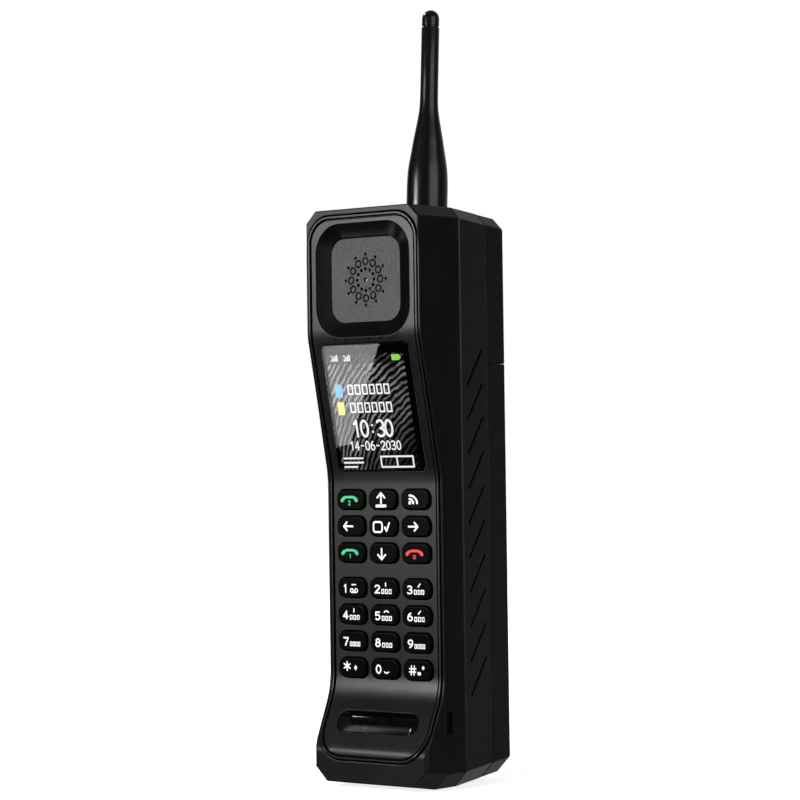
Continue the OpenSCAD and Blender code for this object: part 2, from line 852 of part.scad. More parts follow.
cover_wall = 1.8;
speaker_z = body_h - 27;
speaker_d = 18;
module upper_rear_cover() {
    slot_count = 6;
    slot_pitch = 3.2;
    slot_w = 1.4;
    peg_root = 0.5;
    high = body_h + over;
    color(BLACK) {
        difference() {
            rear_block(back_seam_y, 0, rear_y, split_z, high);
            rear_block(back_seam_y - over, cover_wall, rear_y - cover_wall, split_z + cover_wall, high);
            for (i = [0:slot_count - 1])
                translate([0, 0, speaker_z + (i - (slot_count - 1) / 2) * slot_pitch])
                    front_solid(rear_y - cover_wall - over, rear_y + over) pill(speaker_d, slot_w);
        }
        for (x = [-peg_x, peg_x], z = cover_peg_z)
            translate([x, rear_y - cover_wall + peg_root, z]) rotate([90, 0, 0])
                cylinder(d = peg_d, h = battery_d - cover_wall + peg_root + peg_reach);
    }
}
module loudspeaker() {
    basket_t = 3;
    basket_edge = 3;
    cone_depth = 0.8;
    magnet_t = 2.6;
    magnet_d = 14;
    color(STEEL) translate([0, rear_y - cover_wall - slip, speaker_z]) rotate([90, 0, 0]) {
        difference() {
            cylinder(d = speaker_d, h = basket_t);
            translate([0, 0, -over]) cylinder(d = speaker_d - basket_edge, h = over + cone_depth);
        }
        translate([0, 0, basket_t]) cylinder(d = magnet_d, h = magnet_t);
    }
}

battery_wall = 1.6;
battery_gap = 0.2;
battery_front_y = back_seam_y + battery_gap;
lid_y = battery_front_y + battery_gap;
lid_t = 1.2;
module battery_case() {
    notch_d = 16;
    notch_depth = 1.2;
    notch_w = 22;
    notch_drop = 13;
    high = split_z - split_gap;
    color(BLACK) difference() {
        rear_block(battery_front_y, 0, rear_y, 0, high);
        rear_block(battery_front_y - touch, battery_wall, rear_y - battery_wall, 0, high - battery_wall);
        translate([0, rear_y + notch_d / 2 - notch_depth, high - notch_drop]) rotate([0, 90, 0])
            cylinder(d = notch_d, h = notch_w, center = true);
    }
}
module battery_lid() {
    pad_depth = 0.3;
    color(GREY) {
        difference() {
            intersection() {
                body_block([[lid_y, battery_wall + slip], [lid_y + lid_t, battery_wall + slip]]);
                translate([-body_w, 0, 0])
                    cube([2 * body_w, rear_y, split_z - split_gap - battery_wall - slip]);
            }
            translate([0, 0, contact_z]) front_solid(lid_y - over, lid_y + pad_depth)
                for (i = [-1:1])
                    translate([i * contact_pitch, 0])
                        square([contact_pad_w + 2 * slip, contact_pad_h + 2 * slip], center = true);
        }
        for (x = [-peg_x, peg_x], z = battery_peg_z)
            translate([x, lid_y + lid_t / 2, z]) rotate([90, 0, 0])
                cylinder(d = peg_d, h = lid_y + lid_t / 2 - back_seam_y + peg_reach);
    }
}
module battery_pads() {
    plate_t = 0.25;
    color(BRASS) translate([0, 0, contact_z]) front_solid(lid_y + touch, lid_y + touch + plate_t)
        for (i = [-1:1])
            translate([i * contact_pitch, 0]) square([contact_pad_w, contact_pad_h], center = true);
}
module battery_cell() {
    cell_w = 36;
    cell_h = 108;
    cell_r = 3;
    cell_z = split_z / 2 - 7;
    color(CELL_BLUE) translate([0, 0, cell_z])
        front_solid(lid_y + lid_t + slip, rear_y - battery_wall - 4 * slip)
            rounded(cell_w, cell_h, cell_r);
}

module antenna_bush() {
    bush_low = 0.5 - boss_depth;
    color(BRASS) on_antenna() translate([0, 0, bush_low]) difference() {
        cylinder(d = bush_d, h = antenna_seat - 2 * slip - bush_low);
        translate([0, 0, -over]) cylinder(d = bush_bore_d, h = boss_depth + 2 * over);
    }
}
module antenna_ferrule() {
    spigot_len = 9.5;
    thread_step = 1.2;
    thread_w = 0.5;
    thread_depth = 0.25;
    thread_count = 6;
    color(BRASS) on_antenna() difference() {
        union() {
            translate([0, 0, antenna_seat - spigot_len]) cylinder(d = spigot_d, h = spigot_len + slip);
            translate([0, 0, antenna_seat + touch])
                cylinder(d = collar_d, h = collar_top - antenna_seat - touch);
        }
        for (i = [1:thread_count])
            translate([0, 0, antenna_seat - (i + 1) * thread_step]) difference() {
                cylinder(d = spigot_d + over, h = thread_w);
                translate([0, 0, -over]) cylinder(d = spigot_d - 2 * thread_depth, h = 3 * over);
            }
    }
}
module antenna_rod() {
    color(STEEL) on_antenna() translate([0, 0, collar_top])
        cylinder(d = rod_d, h = antenna_len - collar_top - rod_short - slip);
}

// Outer shape of the sleeve: a straight foot, a long flare and a thin stem
sleeve_top = antenna_len - tip_len;
base_r = antenna_base_d / 2;
tip_r = antenna_tip_d / 2;
flare = [[0.12, 1], [0.168, 0.98], [0.217, 0.92], [0.266, 0.79], [0.315, 0.64], [0.364, 0.5],
         [0.413, 0.34], [0.462, 0.18], [0.511, 0.055], [0.56, 0.01]];
function sleeve_r(share) = tip_r + (base_r - tip_r) * share;
module antenna_sleeve() {
    color(BLACK) on_antenna() rotate_extrude() polygon(concat(
        [[collar_d / 2 + touch, antenna_seat], [base_r, antenna_seat]],
        [for (f = flare) [sleeve_r(f[1]), f[0] * antenna_len]],
        [[tip_r, sleeve_top], [rod_d / 2 + slip, sleeve_top], [rod_d / 2 + slip, collar_top + slip],
         [collar_d / 2 + touch, collar_top + slip]]
    ));
}
module antenna_tip_cap() {
    neck = 0.5;
    neck_r = tip_r - 0.4;
    crown_r = tip_r - slip;
    crown_z = antenna_len - crown_r;
    bore_r = rod_d / 2 + slip;
    bore_top = antenna_len - rod_short;
    color(BLACK) on_antenna() rotate_extrude() polygon(concat(
        [[bore_r, sleeve_top], [neck_r, sleeve_top]],
        [[neck_r, sleeve_top + neck], [crown_r, sleeve_top + neck]],
        [for (a = [0:15:75]) [crown_r * cos(a), crown_z + crown_r * sin(a)]],
        [[0, antenna_len], [0, bore_top], [bore_r, bore_top]]
    ));
}

// Screw with a hexagon socket, its head's seat at the origin and its shank along z
module screw(head_w, head_high, socket_w, shank_w, shank_len) {
    translate([0, 0, -head_high]) difference() {
        cylinder(d = head_w, h = head_high);
        translate([0, 0, -over]) cylinder(d = socket_w, h = over + head_high / 2, $fn = 6);
    }
    translate([0, 0, -slip]) cylinder(d = shank_w, h = shank_len + slip);
}
module housing_screws() {
    socket_w = 2.2;
    color(STEEL) at_lugs() rotate([90, 0, 0]) translate([0, 0, -head_seat_y])
        screw(head_d, head_t, socket_w, shank_d, head_seat_y - seam_y + screw_reach);
}
module board_screws() {
    small_head_d = 3;
    small_head_t = 1.1;
    socket_w = 1.4;
    color(STEEL) at_board_screws() translate([0, 0, -board_back_y])
        screw(small_head_d, small_head_t, socket_w, board_shank_d, board_t + board_screw_reach);
}

front_housing();
front_fascia();
earpiece_recess();
earpiece_grille();
receiver_gasket();
earpiece_receiver();
display_lens();
display_film();
display_panel();
display_frame();
display_ribbon();
for (i = [0:len(KEY_NAMES) - 1])
    keycap(i);
keypad_mat();
key_domes();
main_board();
shield_cans();
sim_holder();
vibration_motor();
charging_receptacle();
mouthpiece_insert();
microphone();
rear_housing();
standing_foot();
contact_block();
contact_pins();
upper_rear_cover();
loudspeaker();
battery_case();
battery_lid();
battery_cell();
battery_pads();
antenna_bush();
antenna_ferrule();
antenna_rod();
antenna_sleeve();
antenna_tip_cap();
housing_screws();
board_screws();
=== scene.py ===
import json
import math
from functools import lru_cache

import bmesh
import bpy
from mathutils import Matrix, Vector, kdtree
from mathutils.geometry import delaunay_2d_cdt


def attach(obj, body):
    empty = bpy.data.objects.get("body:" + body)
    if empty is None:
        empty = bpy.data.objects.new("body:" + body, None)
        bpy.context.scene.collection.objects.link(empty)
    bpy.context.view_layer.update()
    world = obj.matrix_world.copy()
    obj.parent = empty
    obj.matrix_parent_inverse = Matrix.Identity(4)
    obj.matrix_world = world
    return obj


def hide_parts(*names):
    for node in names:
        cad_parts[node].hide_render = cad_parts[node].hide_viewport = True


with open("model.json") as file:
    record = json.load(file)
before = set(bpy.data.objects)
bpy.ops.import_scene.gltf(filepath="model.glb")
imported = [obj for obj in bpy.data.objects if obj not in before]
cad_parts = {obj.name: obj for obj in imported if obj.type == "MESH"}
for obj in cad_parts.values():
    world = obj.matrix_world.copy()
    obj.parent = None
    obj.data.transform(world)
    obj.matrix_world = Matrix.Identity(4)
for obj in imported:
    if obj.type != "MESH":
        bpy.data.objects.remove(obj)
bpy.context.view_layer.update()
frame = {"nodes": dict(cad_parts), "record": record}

nodes = frame["nodes"]
MM = 0.001

# Main planes and places of the body, in millimetres
EAR_Y = -24.5
KEY_Y = -14.2
MOUTH_Y = -23.9
BODY_TOP = 193.7
EAR_LOW_Z = 151.2
EAR_Z = 169.7
KEYPAD_TOP_Z = 103.8
SLOPE_FOOT_Z = 33.0
RIDGE_Z = 12.5
RIM = 0.4
FASCIA_BACK = 1.4
FASCIA_HALF = 23.489
FASCIA_FOOT = 9.0
FASCIA_TOP = 191.9
FASCIA_LOW_R = 11.0
FASCIA_HIGH_R = 9.5
KEY_TOP_Y = -14.9
KEY_W = 11.9
KEY_H = 6.8
KEY_R = 2.7
KEY_GAP = 0.2
KEY_PITCH_X = 13.8
KEY_PITCH_Z = 8.98
NAV_ROWS = 3
NAV_TOP_Z = 96.1
DIGIT_TOP_Z = 66.3
SCREEN_SHIFT = -0.6
MOUTH_SHIFT = -0.9
ANTENNA_FOOT = (5.6, 4.7, 193.042)
ANTENNA_LEAN = 3.2
KEY_NAMES = ("key_call_two", "key_up", "key_menu", "key_left", "key_select", "key_right",
             "key_call_one", "key_down", "key_end", "key_1", "key_2", "key_3", "key_4", "key_5",
             "key_6", "key_7", "key_8", "key_9", "key_star", "key_0", "key_hash")

UPRIGHT = Matrix.Rotation(math.radians(90), 4, "X")


def slope_matrix(mid_y, mid_z, tilt, shift):
    """Local x to the right, y up the slope and z out of the fascia's surface."""
    turn = Matrix.Rotation(math.radians(90) + tilt, 4, "X")
    return Matrix.Translation((0, mid_y, mid_z)) @ turn @ Matrix.Translation((0, shift, -RIM))


SCREEN_TILT = math.atan2(KEY_Y - EAR_Y, EAR_LOW_Z - KEYPAD_TOP_Z)
MOUTH_TILT = math.atan2(KEY_Y - MOUTH_Y, SLOPE_FOOT_Z - RIDGE_Z)
ON_SCREEN = slope_matrix((KEY_Y + EAR_Y) / 2, (KEYPAD_TOP_Z + EAR_LOW_Z) / 2, SCREEN_TILT, SCREEN_SHIFT)
ON_MOUTH = slope_matrix((KEY_Y + MOUTH_Y) / 2, (SLOPE_FOOT_Z + RIDGE_Z) / 2, -MOUTH_TILT, MOUTH_SHIFT)
ON_EAR = Matrix.Translation((0, EAR_Y + RIM, EAR_Z)) @ UPRIGHT
ON_ANTENNA = Matrix.Translation(ANTENNA_FOOT) @ Matrix.Rotation(math.radians(-ANTENNA_LEAN), 4, "X")


def key_place(i):
    """Middle of a key's opening: x and z."""
    column, row = i % 3, i // 3
    if row < NAV_ROWS:
        height = NAV_TOP_Z - row * KEY_PITCH_Z
    else:
        height = DIGIT_TOP_Z - (row - NAV_ROWS) * KEY_PITCH_Z
    return (column - 1) * KEY_PITCH_X, height


def key_size(grow):
    """Width, height and corner radius of a key's outline, moved outward."""
    return KEY_W + 2 * grow, KEY_H + 2 * grow, KEY_R + grow


def on_key(i):
    """Local x to the right, y up and z out of the top of a key."""
    x, z = key_place(i)
    return Matrix.Translation((x, KEY_TOP_Y, z)) @ UPRIGHT


# Materials


class Look:
    """One node material: a principled shader whose inputs come from noise in the object's own space."""

    def __init__(self, name):
        self.material = bpy.data.materials.new(name)
        self.material.use_nodes = True
        self.tree = self.material.node_tree
        self.tree.nodes.clear()
        self.output = self.add("ShaderNodeOutputMaterial")
        self.shader = self.add("ShaderNodeBsdfPrincipled")
        self.tree.links.new(self.shader.outputs[0], self.output.inputs[0])
        self.place = self.add("ShaderNodeTexCoord").outputs["Object"]

    def add(self, kind, **settings):
        node = self.tree.nodes.new(kind)
        for key, value in settings.items():
            setattr(node, key, value)
        return node

    def link(self, source, target):
        self.tree.links.new(source, target)

    def feed(self, socket, value):
        if isinstance(value, bpy.types.NodeSocket):
            self.link(value, socket)
        else:
            socket.default_value = value

    def set(self, **values):
        for key, value in values.items():
            self.feed(self.shader.inputs[key.replace("_", " ")], value)

    def stretch(self, scale):
        node = self.add("ShaderNodeMapping")
        self.link(self.place, node.inputs["Vector"])
        node.inputs["Scale"].default_value = scale
        return node.outputs["Vector"]

    def noise(self, size_mm, detail=2.0, place=None):
        node = self.add("ShaderNodeTexNoise")
        self.link(place or self.place, node.inputs["Vector"])
        node.inputs["Scale"].default_value = 1 / (size_mm * MM)
        node.inputs["Detail"].default_value = detail
        return node.outputs["Fac"]

    def span(self, value, low, high, new_low, new_high):
        node = self.add("ShaderNodeMapRange")
        self.feed(node.inputs["Value"], value)
        for key, number in zip(("From Min", "From Max", "To Min", "To Max"), (low, high, new_low, new_high)):
            self.feed(node.inputs[key], number)
        return node.outputs["Result"]

    def math(self, operation, a, b):
        node = self.add("ShaderNodeMath", operation=operation)
        self.feed(node.inputs[0], a)
        self.feed(node.inputs[1], b)
        return node.outputs[0]

    def mix(self, share, a, b):
        node = self.add("ShaderNodeMix", data_type="RGBA")
        self.feed(node.inputs["Factor"], share)
        self.feed(node.inputs["A"], a)
        self.feed(node.inputs["B"], b)
        return node.outputs["Result"]

    def bump(self, height, depth_mm):
        node = self.add("ShaderNodeBump")
        self.link(height, node.inputs["Height"])
        node.inputs["Distance"].default_value = depth_mm * MM
        return node.outputs["Normal"]


def grey(value, tint=0.0):
    return (value, value, value * (1 + tint), 1.0)


def moulded(name, base, grain_mm, depth_mm, roughness, gloss, speckle=0.25, face_y=None):
    """Moulded plastic: an etched grain and faint blotches, and, where a face is given, painted shade that
    darkens everything deeper than that face.
    """
    look = Look(name)
    grain = look.noise(grain_mm, 3.0)
    blotch = look.noise(22, 3.0)
    shade = look.span(grain, 0.3, 0.7, 1 - speckle, 1 + speckle)
    shade = look.math("MULTIPLY", shade, look.span(blotch, 0.3, 0.7, 0.9, 1.1))
    colour = look.mix(look.span(shade, 0.5, 1.5, 0.0, 1.0), grey(base * 0.5), grey(base * 1.5))
    # Painted shade: behind the face the colour fades to nearly black, standing in for shade in holes and
    # grooves.
    if face_y is not None:
        parts = look.add("ShaderNodeSeparateXYZ")
        look.link(look.place, parts.inputs[0])
        painted_recess_shade = look.span(parts.outputs["Y"], (face_y + 0.05) * MM, (face_y + 0.25) * MM, 0.0, 1.0)
        colour = look.mix(painted_recess_shade, colour, grey(base * 0.05))
    look.set(Base_Color=colour)
    look.set(Roughness=look.span(blotch, 0.3, 0.7, roughness - 0.03, roughness + 0.03))
    look.set(Specular_IOR_Level=gloss, Normal=look.bump(grain, depth_mm))
    return look.material


def smooth_plastic(name, base, roughness, gloss):
    """Polished plastic with a slight unevenness and fine scuffs."""
    look = Look(name)
    wave = look.noise(6, 2.0)
    scuff = look.noise(0.8, 5.0, look.stretch((1, 1, 0.15)))
    look.set(Base_Color=look.mix(wave, grey(base * 0.8), grey(base * 1.2)))
    look.set(Roughness=look.span(scuff, 0.35, 0.75, roughness - 0.03, roughness + 0.05))
    look.set(Specular_IOR_Level=gloss, Normal=look.bump(wave, 0.01))
    return look.material


def metal(name, colour, roughness, stretch):
    """Plated or rolled metal with fine lines along one direction."""
    look = Look(name)
    lines = look.noise(0.5, 3.0, look.stretch(stretch))
    dark = tuple(c * 0.8 for c in colour) + (1.0,)
    look.set(Base_Color=look.mix(look.noise(9), dark, tuple(colour) + (1.0,)))
    look.set(Metallic=1.0, Roughness=look.span(lines, 0.3, 0.7, roughness - 0.08, roughness + 0.1))
    look.set(Normal=look.bump(lines, 0.004))
    return look.material


def sheet_material(name, dark, light, size_mm, stretch, roughness):
    """A layered sheet: two tones in stretched patches."""
    look = Look(name)
    patch = look.noise(size_mm, 2.0, look.stretch(stretch))
    look.set(Base_Color=look.mix(look.span(patch, 0.42, 0.58, 0.0, 1.0), dark + (1.0,), light + (1.0,)))
    look.set(Roughness=look.span(patch, 0.3, 0.7, roughness - 0.06, roughness + 0.06))
    look.set(Normal=look.bump(patch, 0.02))
    return look.material


def lit(name, colour):
    """A lit dot pattern of a screen: the colour dims a little between the dots."""
    look = Look(name)
    dots = look.noise(0.25, 0.0)
    dim = tuple(c * 0.9 for c in colour) + (1.0,)
    look.set(Base_Color=grey(0.0), Roughness=0.5, Specular_IOR_Level=0.0, Emission_Strength=1.0)
    look.set(Emission_Color=look.mix(look.span(dots, 0.2, 0.8, 0.0, 1.0), dim, tuple(colour) + (1.0,)))
    return look.material


def ink(name, colour):
    """Screen-printed ink: even, with a slightly rough surface."""
    look = Look(name)
    speck = look.noise(0.15, 2.0)
    dim = tuple(c * 0.9 for c in colour) + (1.0,)
    look.set(Base_Color=look.mix(look.span(speck, 0.3, 0.6, 0.0, 1.0), dim, tuple(colour) + (1.0,)))
    look.set(Roughness=look.span(speck, 0.3, 0.7, 0.5, 0.65), Specular_IOR_Level=0.05)
    look.set(Normal=look.bump(speck, 0.003))
    return look.material


def screen_plane(look):
    """The screen's own coordinates: all three, across and upward."""
    local = look.add("ShaderNodeMapping", vector_type="TEXTURE")
    look.link(look.place, local.inputs["Vector"])
    local.inputs["Location"].default_value = ON_SCREEN.to_translation() * MM
    local.inputs["Rotation"].default_value = (math.radians(90) + SCREEN_TILT, 0, 0)
    parts = look.add("ShaderNodeSeparateXYZ")
    look.link(local.outputs["Vector"], parts.inputs[0])
    return local.outputs["Vector"], parts.outputs["X"], parts.outputs["Y"]


def window(look, across, upward, left, right, low, high):
    """1 inside a rectangle of the screen, in millimetres, and 0 outside it."""
    share = look.math("GREATER_THAN", across, left * MM)
    for operation, part, edge in (("LESS_THAN", across, right), ("GREATER_THAN", upward, low),
                                  ("LESS_THAN", upward, high)):
        share = look.math("MULTIPLY", share, look.math(operation, part, edge * MM))
    return share


# Rectangles of the screen, in millimetres: left, right, low and high
CLEAR_GLASS = (-18.4, 18.4, -21.5, 21.5)
LIT_PICTURE = (-17.5, 15.4, -21.4, 18.3)
STATUS_LOW = 15.0


def glass_material():
    """Clear glass with a black rim printed round it."""
    look = Look("lens_glass")
    _, across, upward = screen_plane(look)
    clear = window(look, across, upward, *CLEAR_GLASS)
    smear = look.noise(9, 4.0, look.stretch((1, 1, 0.5)))
    look.set(Base_Color=look.mix(clear, grey(0.002), grey(1.0)), Transmission_Weight=clear, IOR=1.3)
    look.set(Roughness=look.span(smear, 0.4, 0.8, 0.0, 0.01))
    return look.material


def picture_material():
    """Grey strands on black, generic, inside a black border."""
    look = Look("screen_picture")
    plane, across, upward = screen_plane(look)
    shifted = look.add("ShaderNodeMapping")
    look.link(plane, shifted.inputs["Vector"])
    shifted.inputs["Location"].default_value = (-0.03, 0.036, 0.0)
    shifted.inputs["Scale"].default_value = (1.0, 0.8, 0.0)
    wave = look.add("ShaderNodeTexWave", wave_type="RINGS", rings_direction="Z")
    look.link(shifted.outputs["Vector"], wave.inputs["Vector"])
    for key, value in (("Scale", 190), ("Distortion", 3.5), ("Detail", 2.0), ("Detail Scale", 1.5)):
        wave.inputs[key].default_value = value
    strand = look.math("POWER", wave.outputs["Fac"], 2.5)
    strand = look.math("MULTIPLY", strand, look.span(look.noise(9, 2.0, plane), 0.3, 0.7, 0.25, 1.0))
    fade = look.span(look.math("SUBTRACT", across, upward), -0.03, 0.028, 0.7, 0.02)
    status = look.math("GREATER_THAN", upward, STATUS_LOW * MM)
    bar = look.math("SUBTRACT", 1.0, look.math("MULTIPLY", status, 0.8))
    level = look.math("MULTIPLY", look.math("MULTIPLY", strand, fade), bar)
    level = look.math("MULTIPLY", level, window(look, across, upward, *LIT_PICTURE))
    look.set(Base_Color=grey(0.0), Roughness=0.4, Specular_IOR_Level=0.0, Emission_Strength=1.0)
    look.set(Emission_Color=look.mix(level, grey(0.001), grey(1.0, 0.03)))
    return look.material


LOOKS = {
    "housing": moulded("housing_black", 0.005, 0.35, 0.008, 0.31, 0.016),
    "fascia": moulded("fascia_grey", 0.0035, 0.4, 0.009, 0.32, 0.025, 0.4),
    "gloss_black": smooth_plastic("gloss_black", 0.002, 0.2, 0.06),
    "bowl_black": smooth_plastic("bowl_black", 0.002, 0.12, 0.05),
    # The pad's colour holds painted shade in its holes and ring grooves, everything deeper than its face at y
    # -22.1 mm.
    "pad_grey": moulded("pad_grey", 0.065, 0.5, 0.03, 0.6, 0.015, 0.35, -22.1),
    "keys": smooth_plastic("key_black", 0.0015, 0.25, 0.003),
    "lens": glass_material(),
    "picture": picture_material(),
    "foot_rubber": moulded("foot_rubber", 0.01, 0.6, 0.02, 0.7, 0.05),
    "panel": smooth_plastic("panel_black", 0.004, 0.3, 0.1),
    "steel": metal("steel", (0.6, 0.6, 0.62), 0.35, (1, 1, 0.08)),
    "brass": metal("brass", (0.75, 0.58, 0.28), 0.3, (0.2, 1, 1)),
    "silicone": moulded("silicone_grey", 0.3, 0.6, 0.02, 0.7, 0.2, 0.1),
    "board": sheet_material("board_green", (0.01, 0.08, 0.03), (0.02, 0.16, 0.06), 1.2, (1, 1, 0.15), 0.4),
    "ribbon": sheet_material("ribbon_film", (0.35, 0.16, 0.03), (0.55, 0.28, 0.06), 0.6, (1, 1, 0.02), 0.4),
    "inner_plastic": moulded("inner_black", 0.02, 0.5, 0.015, 0.55, 0.1),
    "cell_foil": metal("cell_foil", (0.4, 0.46, 0.6), 0.35, (1, 1, 0.3)),
    "antenna": smooth_plastic("antenna_black", 0.002, 0.25, 0.037),
}
WHITE_INK = ink("ink_white", (0.9, 0.9, 0.9))
GREEN_INK = ink("ink_green", (0.03, 0.5, 0.2))
RED_INK = ink("ink_red", (0.75, 0.04, 0.04))
WHITE_LIT = lit("lit_white", (0.95, 0.95, 0.95))
BLACK_LIT = lit("lit_black", (0.004, 0.004, 0.004))
GREEN_LIT = lit("lit_green", (0.3, 0.75, 0.12))
BLUE_LIT = lit("lit_blue", (0.2, 0.55, 0.95))
YELLOW_LIT = lit("lit_yellow", (0.9, 0.85, 0.2))

# Nodes whose look differs from the rest of their slot
OWN_LOOKS = {
    "rear_housing": moulded("rear_black", 0.005, 0.35, 0.008, 0.31, 0.024),
    # Painted shade: the receiver's face is a darkened copy of steel, so the grille's holes show dark in front
    # of it.
    "earpiece_receiver": metal("receiver_face", (0.05, 0.05, 0.052), 0.35, (1, 1, 0.08)),
}

slot_of = {row["node"]: row["material_slot"] for row in frame["record"]["subparts"]}
for name, node in nodes.items():
    node.data.materials.clear()
    node.data.materials.append(OWN_LOOKS.get(name, LOOKS[slot_of[name]]))


# Rounded edges of the solids that stay in view


def soften(name, width_mm, angle, merge):
    """Round the edges that turn by more than the angle; merge first joins the faces that lie flat."""
    node = nodes[name]
    weld = node.modifiers.new("weld", "WELD")
    weld.merge_threshold = 0.0005 * MM
    if merge:
        flat = node.modifiers.new("flat", "DECIMATE")
        flat.decimate_type = "DISSOLVE"
        flat.angle_limit = math.radians(0.6)
    bevel = node.modifiers.new("bevel", "BEVEL")
    bevel.width = width_mm * MM
    bevel.segments = 3
    bevel.limit_method = "ANGLE"
    bevel.angle_limit = math.radians(angle)
    bevel.use_clamp_overlap = False
    bevel.harden_normals = True
    node.modifiers.new("normals", "WEIGHTED_NORMAL").keep_sharp = True


for name, width, angle, merge in (("front_housing", 0.45, 28, False), ("rear_housing", 0.3, 45, True),
                                  ("upper_rear_cover", 0.4, 28, True), ("battery_case", 0.4, 28, True)):
    soften(name, width, angle, merge)


# Shapes built ring by ring


def corner_ring(corners, arc, sides):
    """Counter-clockwise ring through four round corners: x, y, radius and first angle of each."""
    points = []
    for i, (x, y, radius, start) in enumerate(corners):
        for step in range(arc + 1):
            angle = math.radians(start + 90 * step / arc)
            points.append(Vector((x + radius * math.cos(angle), y + radius * math.sin(angle))))
        next_x, next_y, next_radius, next_start = corners[(i + 1) % 4]
        turn = math.radians(next_start)
        end = Vector((next_x + next_radius * math.cos(turn), next_y + next_radius * math.sin(turn)))
        begin = points[-1]
        points.extend(begin.lerp(end, step / sides[i]) for step in range(1, sides[i]))
    return points


def rounded_ring(width, height, radius, arc=8, side_x=4, side_y=4, centre=(0, 0)):
    x, y = width / 2 - radius, height / 2 - radius
    corners = ((x, -y, radius, -90), (x, y, radius, 0), (-x, y, radius, 90), (-x, -y, radius, 180))
    middle = Vector(centre)
    return [point + middle for point in corner_ring(corners, arc, (side_y, side_x, side_y, side_x))]


def lifted(points, height):
    return [(p[0], p[1], height) for p in points]


def circle(radius, height, count=48):
    angles = [2 * math.pi * i / count for i in range(count)]
    return [(radius * math.cos(a), radius * math.sin(a), height) for a in angles]


class Shell:
    """Points and faces of one piece."""

    def __init__(self):
        self.points = []
        self.faces = []

    def ring(self, points):
        first = len(self.points)
        self.points.extend(Vector(p) for p in points)
        return list(range(first, len(self.points)))

    def bridge(self, a, b):
        count = len(a)
        for i in range(count):
            j = (i + 1) % count
            self.faces.append((a[i], a[j], b[j], b[i]))

    def sleeve(self, rings):
        """Walls between neighbouring rings, left open; gives the first and the last ring."""
        loops = [self.ring(points) for points in rings]
        for a, b in zip(loops, loops[1:]):
            self.bridge(a, b)
        return loops[0], loops[-1]

    def loft(self, rings, closed=False):
        """A sleeve whose last ring meets its first one, or whose ends get flat caps."""
        first, last = self.sleeve(rings)
        if closed:
            self.bridge(last, first)
        else:
            self.faces += [tuple(first), tuple(last)]
        return self


def add_piece(name, shell, look, body, matrix=Matrix(), replaces=(), sharp=35):
    mesh = bpy.data.meshes.new(name)
    mesh.from_pydata([(matrix @ p) * MM for p in shell.points], [], shell.faces)
    work = bmesh.new()
    work.from_mesh(mesh)
    bmesh.ops.remove_doubles(work, verts=work.verts, dist=0.0001 * MM)
    bmesh.ops.recalc_face_normals(work, faces=work.faces)
    for face in work.faces:
        face.smooth = True
    work.to_mesh(mesh)
    work.free()
    mesh.set_sharp_from_angle(angle=math.radians(sharp))
    mesh.materials.append(look)
    piece = bpy.data.objects.new(name, mesh)
    bpy.context.scene.collection.objects.link(piece)
    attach(piece, body)
    if replaces:
        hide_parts(*replaces)
    return piece


# Front profile of the body and the fascia on it

FRONT_CORNERS = [Vector(p) for p in ((MOUTH_Y, -10), (MOUTH_Y, RIDGE_Z), (KEY_Y, SLOPE_FOOT_Z),
                                     (KEY_Y, KEYPAD_TOP_Z), (EAR_Y, EAR_LOW_Z), (EAR_Y, BODY_TOP + 10))]
# Rounding of the four corners between these points, from the foot up. The ridge has 6 in the solid and 3
# here, and the two surfaces lie less than 0.1 mm apart.
FRONT_RADII = (3, 22, 24, 24)


@lru_cache(maxsize=None)
def front_runs(depth):
    """Stretches of the profile at a depth, from the foot up: upper end, then a line or an arc."""
    runs = []
    for a, b, c, radius in zip(FRONT_CORNERS, FRONT_CORNERS[1:], FRONT_CORNERS[2:], FRONT_RADII):
        before, after = (b - a).normalized(), (c - b).normalized()
        inward = Vector((before.y, -before.x))
        inward_after = Vector((after.y, -after.x))
        reach = radius * math.tan(before.angle(after) / 2)
        side = 1 if before.cross(after) < 0 else -1
        start = b - before * reach
        end = b + after * reach + inward_after * depth
        centre = start + inward * radius * side
        place = start + inward * depth
        runs.append((place.y, None, place, before.x / before.y))
        runs.append((end.y, centre, radius - side * depth, side))
    last = FRONT_CORNERS[-1] + Vector((depth, 0))
    runs.append((math.inf, None, last, 0.0))
    return runs


def front_y(z, depth):
    """Depth of the front surface at a height, moved inward."""
    for top, centre, shape, slant in front_runs(depth):
        if z <= top:
            break
    if centre is None:
        return shape.x + (z - shape.y) * slant
    return centre.x - slant * math.sqrt(shape ** 2 - (z - centre.y) ** 2)


def on_front(points, depth):
    return [(p[0], front_y(p[1], depth), p[1]) for p in points]


def fascia_ring(inset):
    half = FASCIA_HALF - inset
    low, high = FASCIA_LOW_R - inset, FASCIA_HIGH_R - inset
    foot, top = FASCIA_FOOT + inset + low, FASCIA_TOP - inset - high
    corners = ((half - low, foot, low, -90), (half - high, top, high, 0),
               (high - half, top, high, 90), (low - half, foot, low, 180))
    return corner_ring(corners, 14, (140, 16, 140, 14))


def inside(point, loop):
    x, z = point
    within = False
    for a, b in zip(loop, loop[1:] + loop[:1]):
        if (a[1] > z) != (b[1] > z) and x < (b[0] - a[0]) * (z - a[1]) / (b[1] - a[1]) + a[0]:
            within = not within
    return within


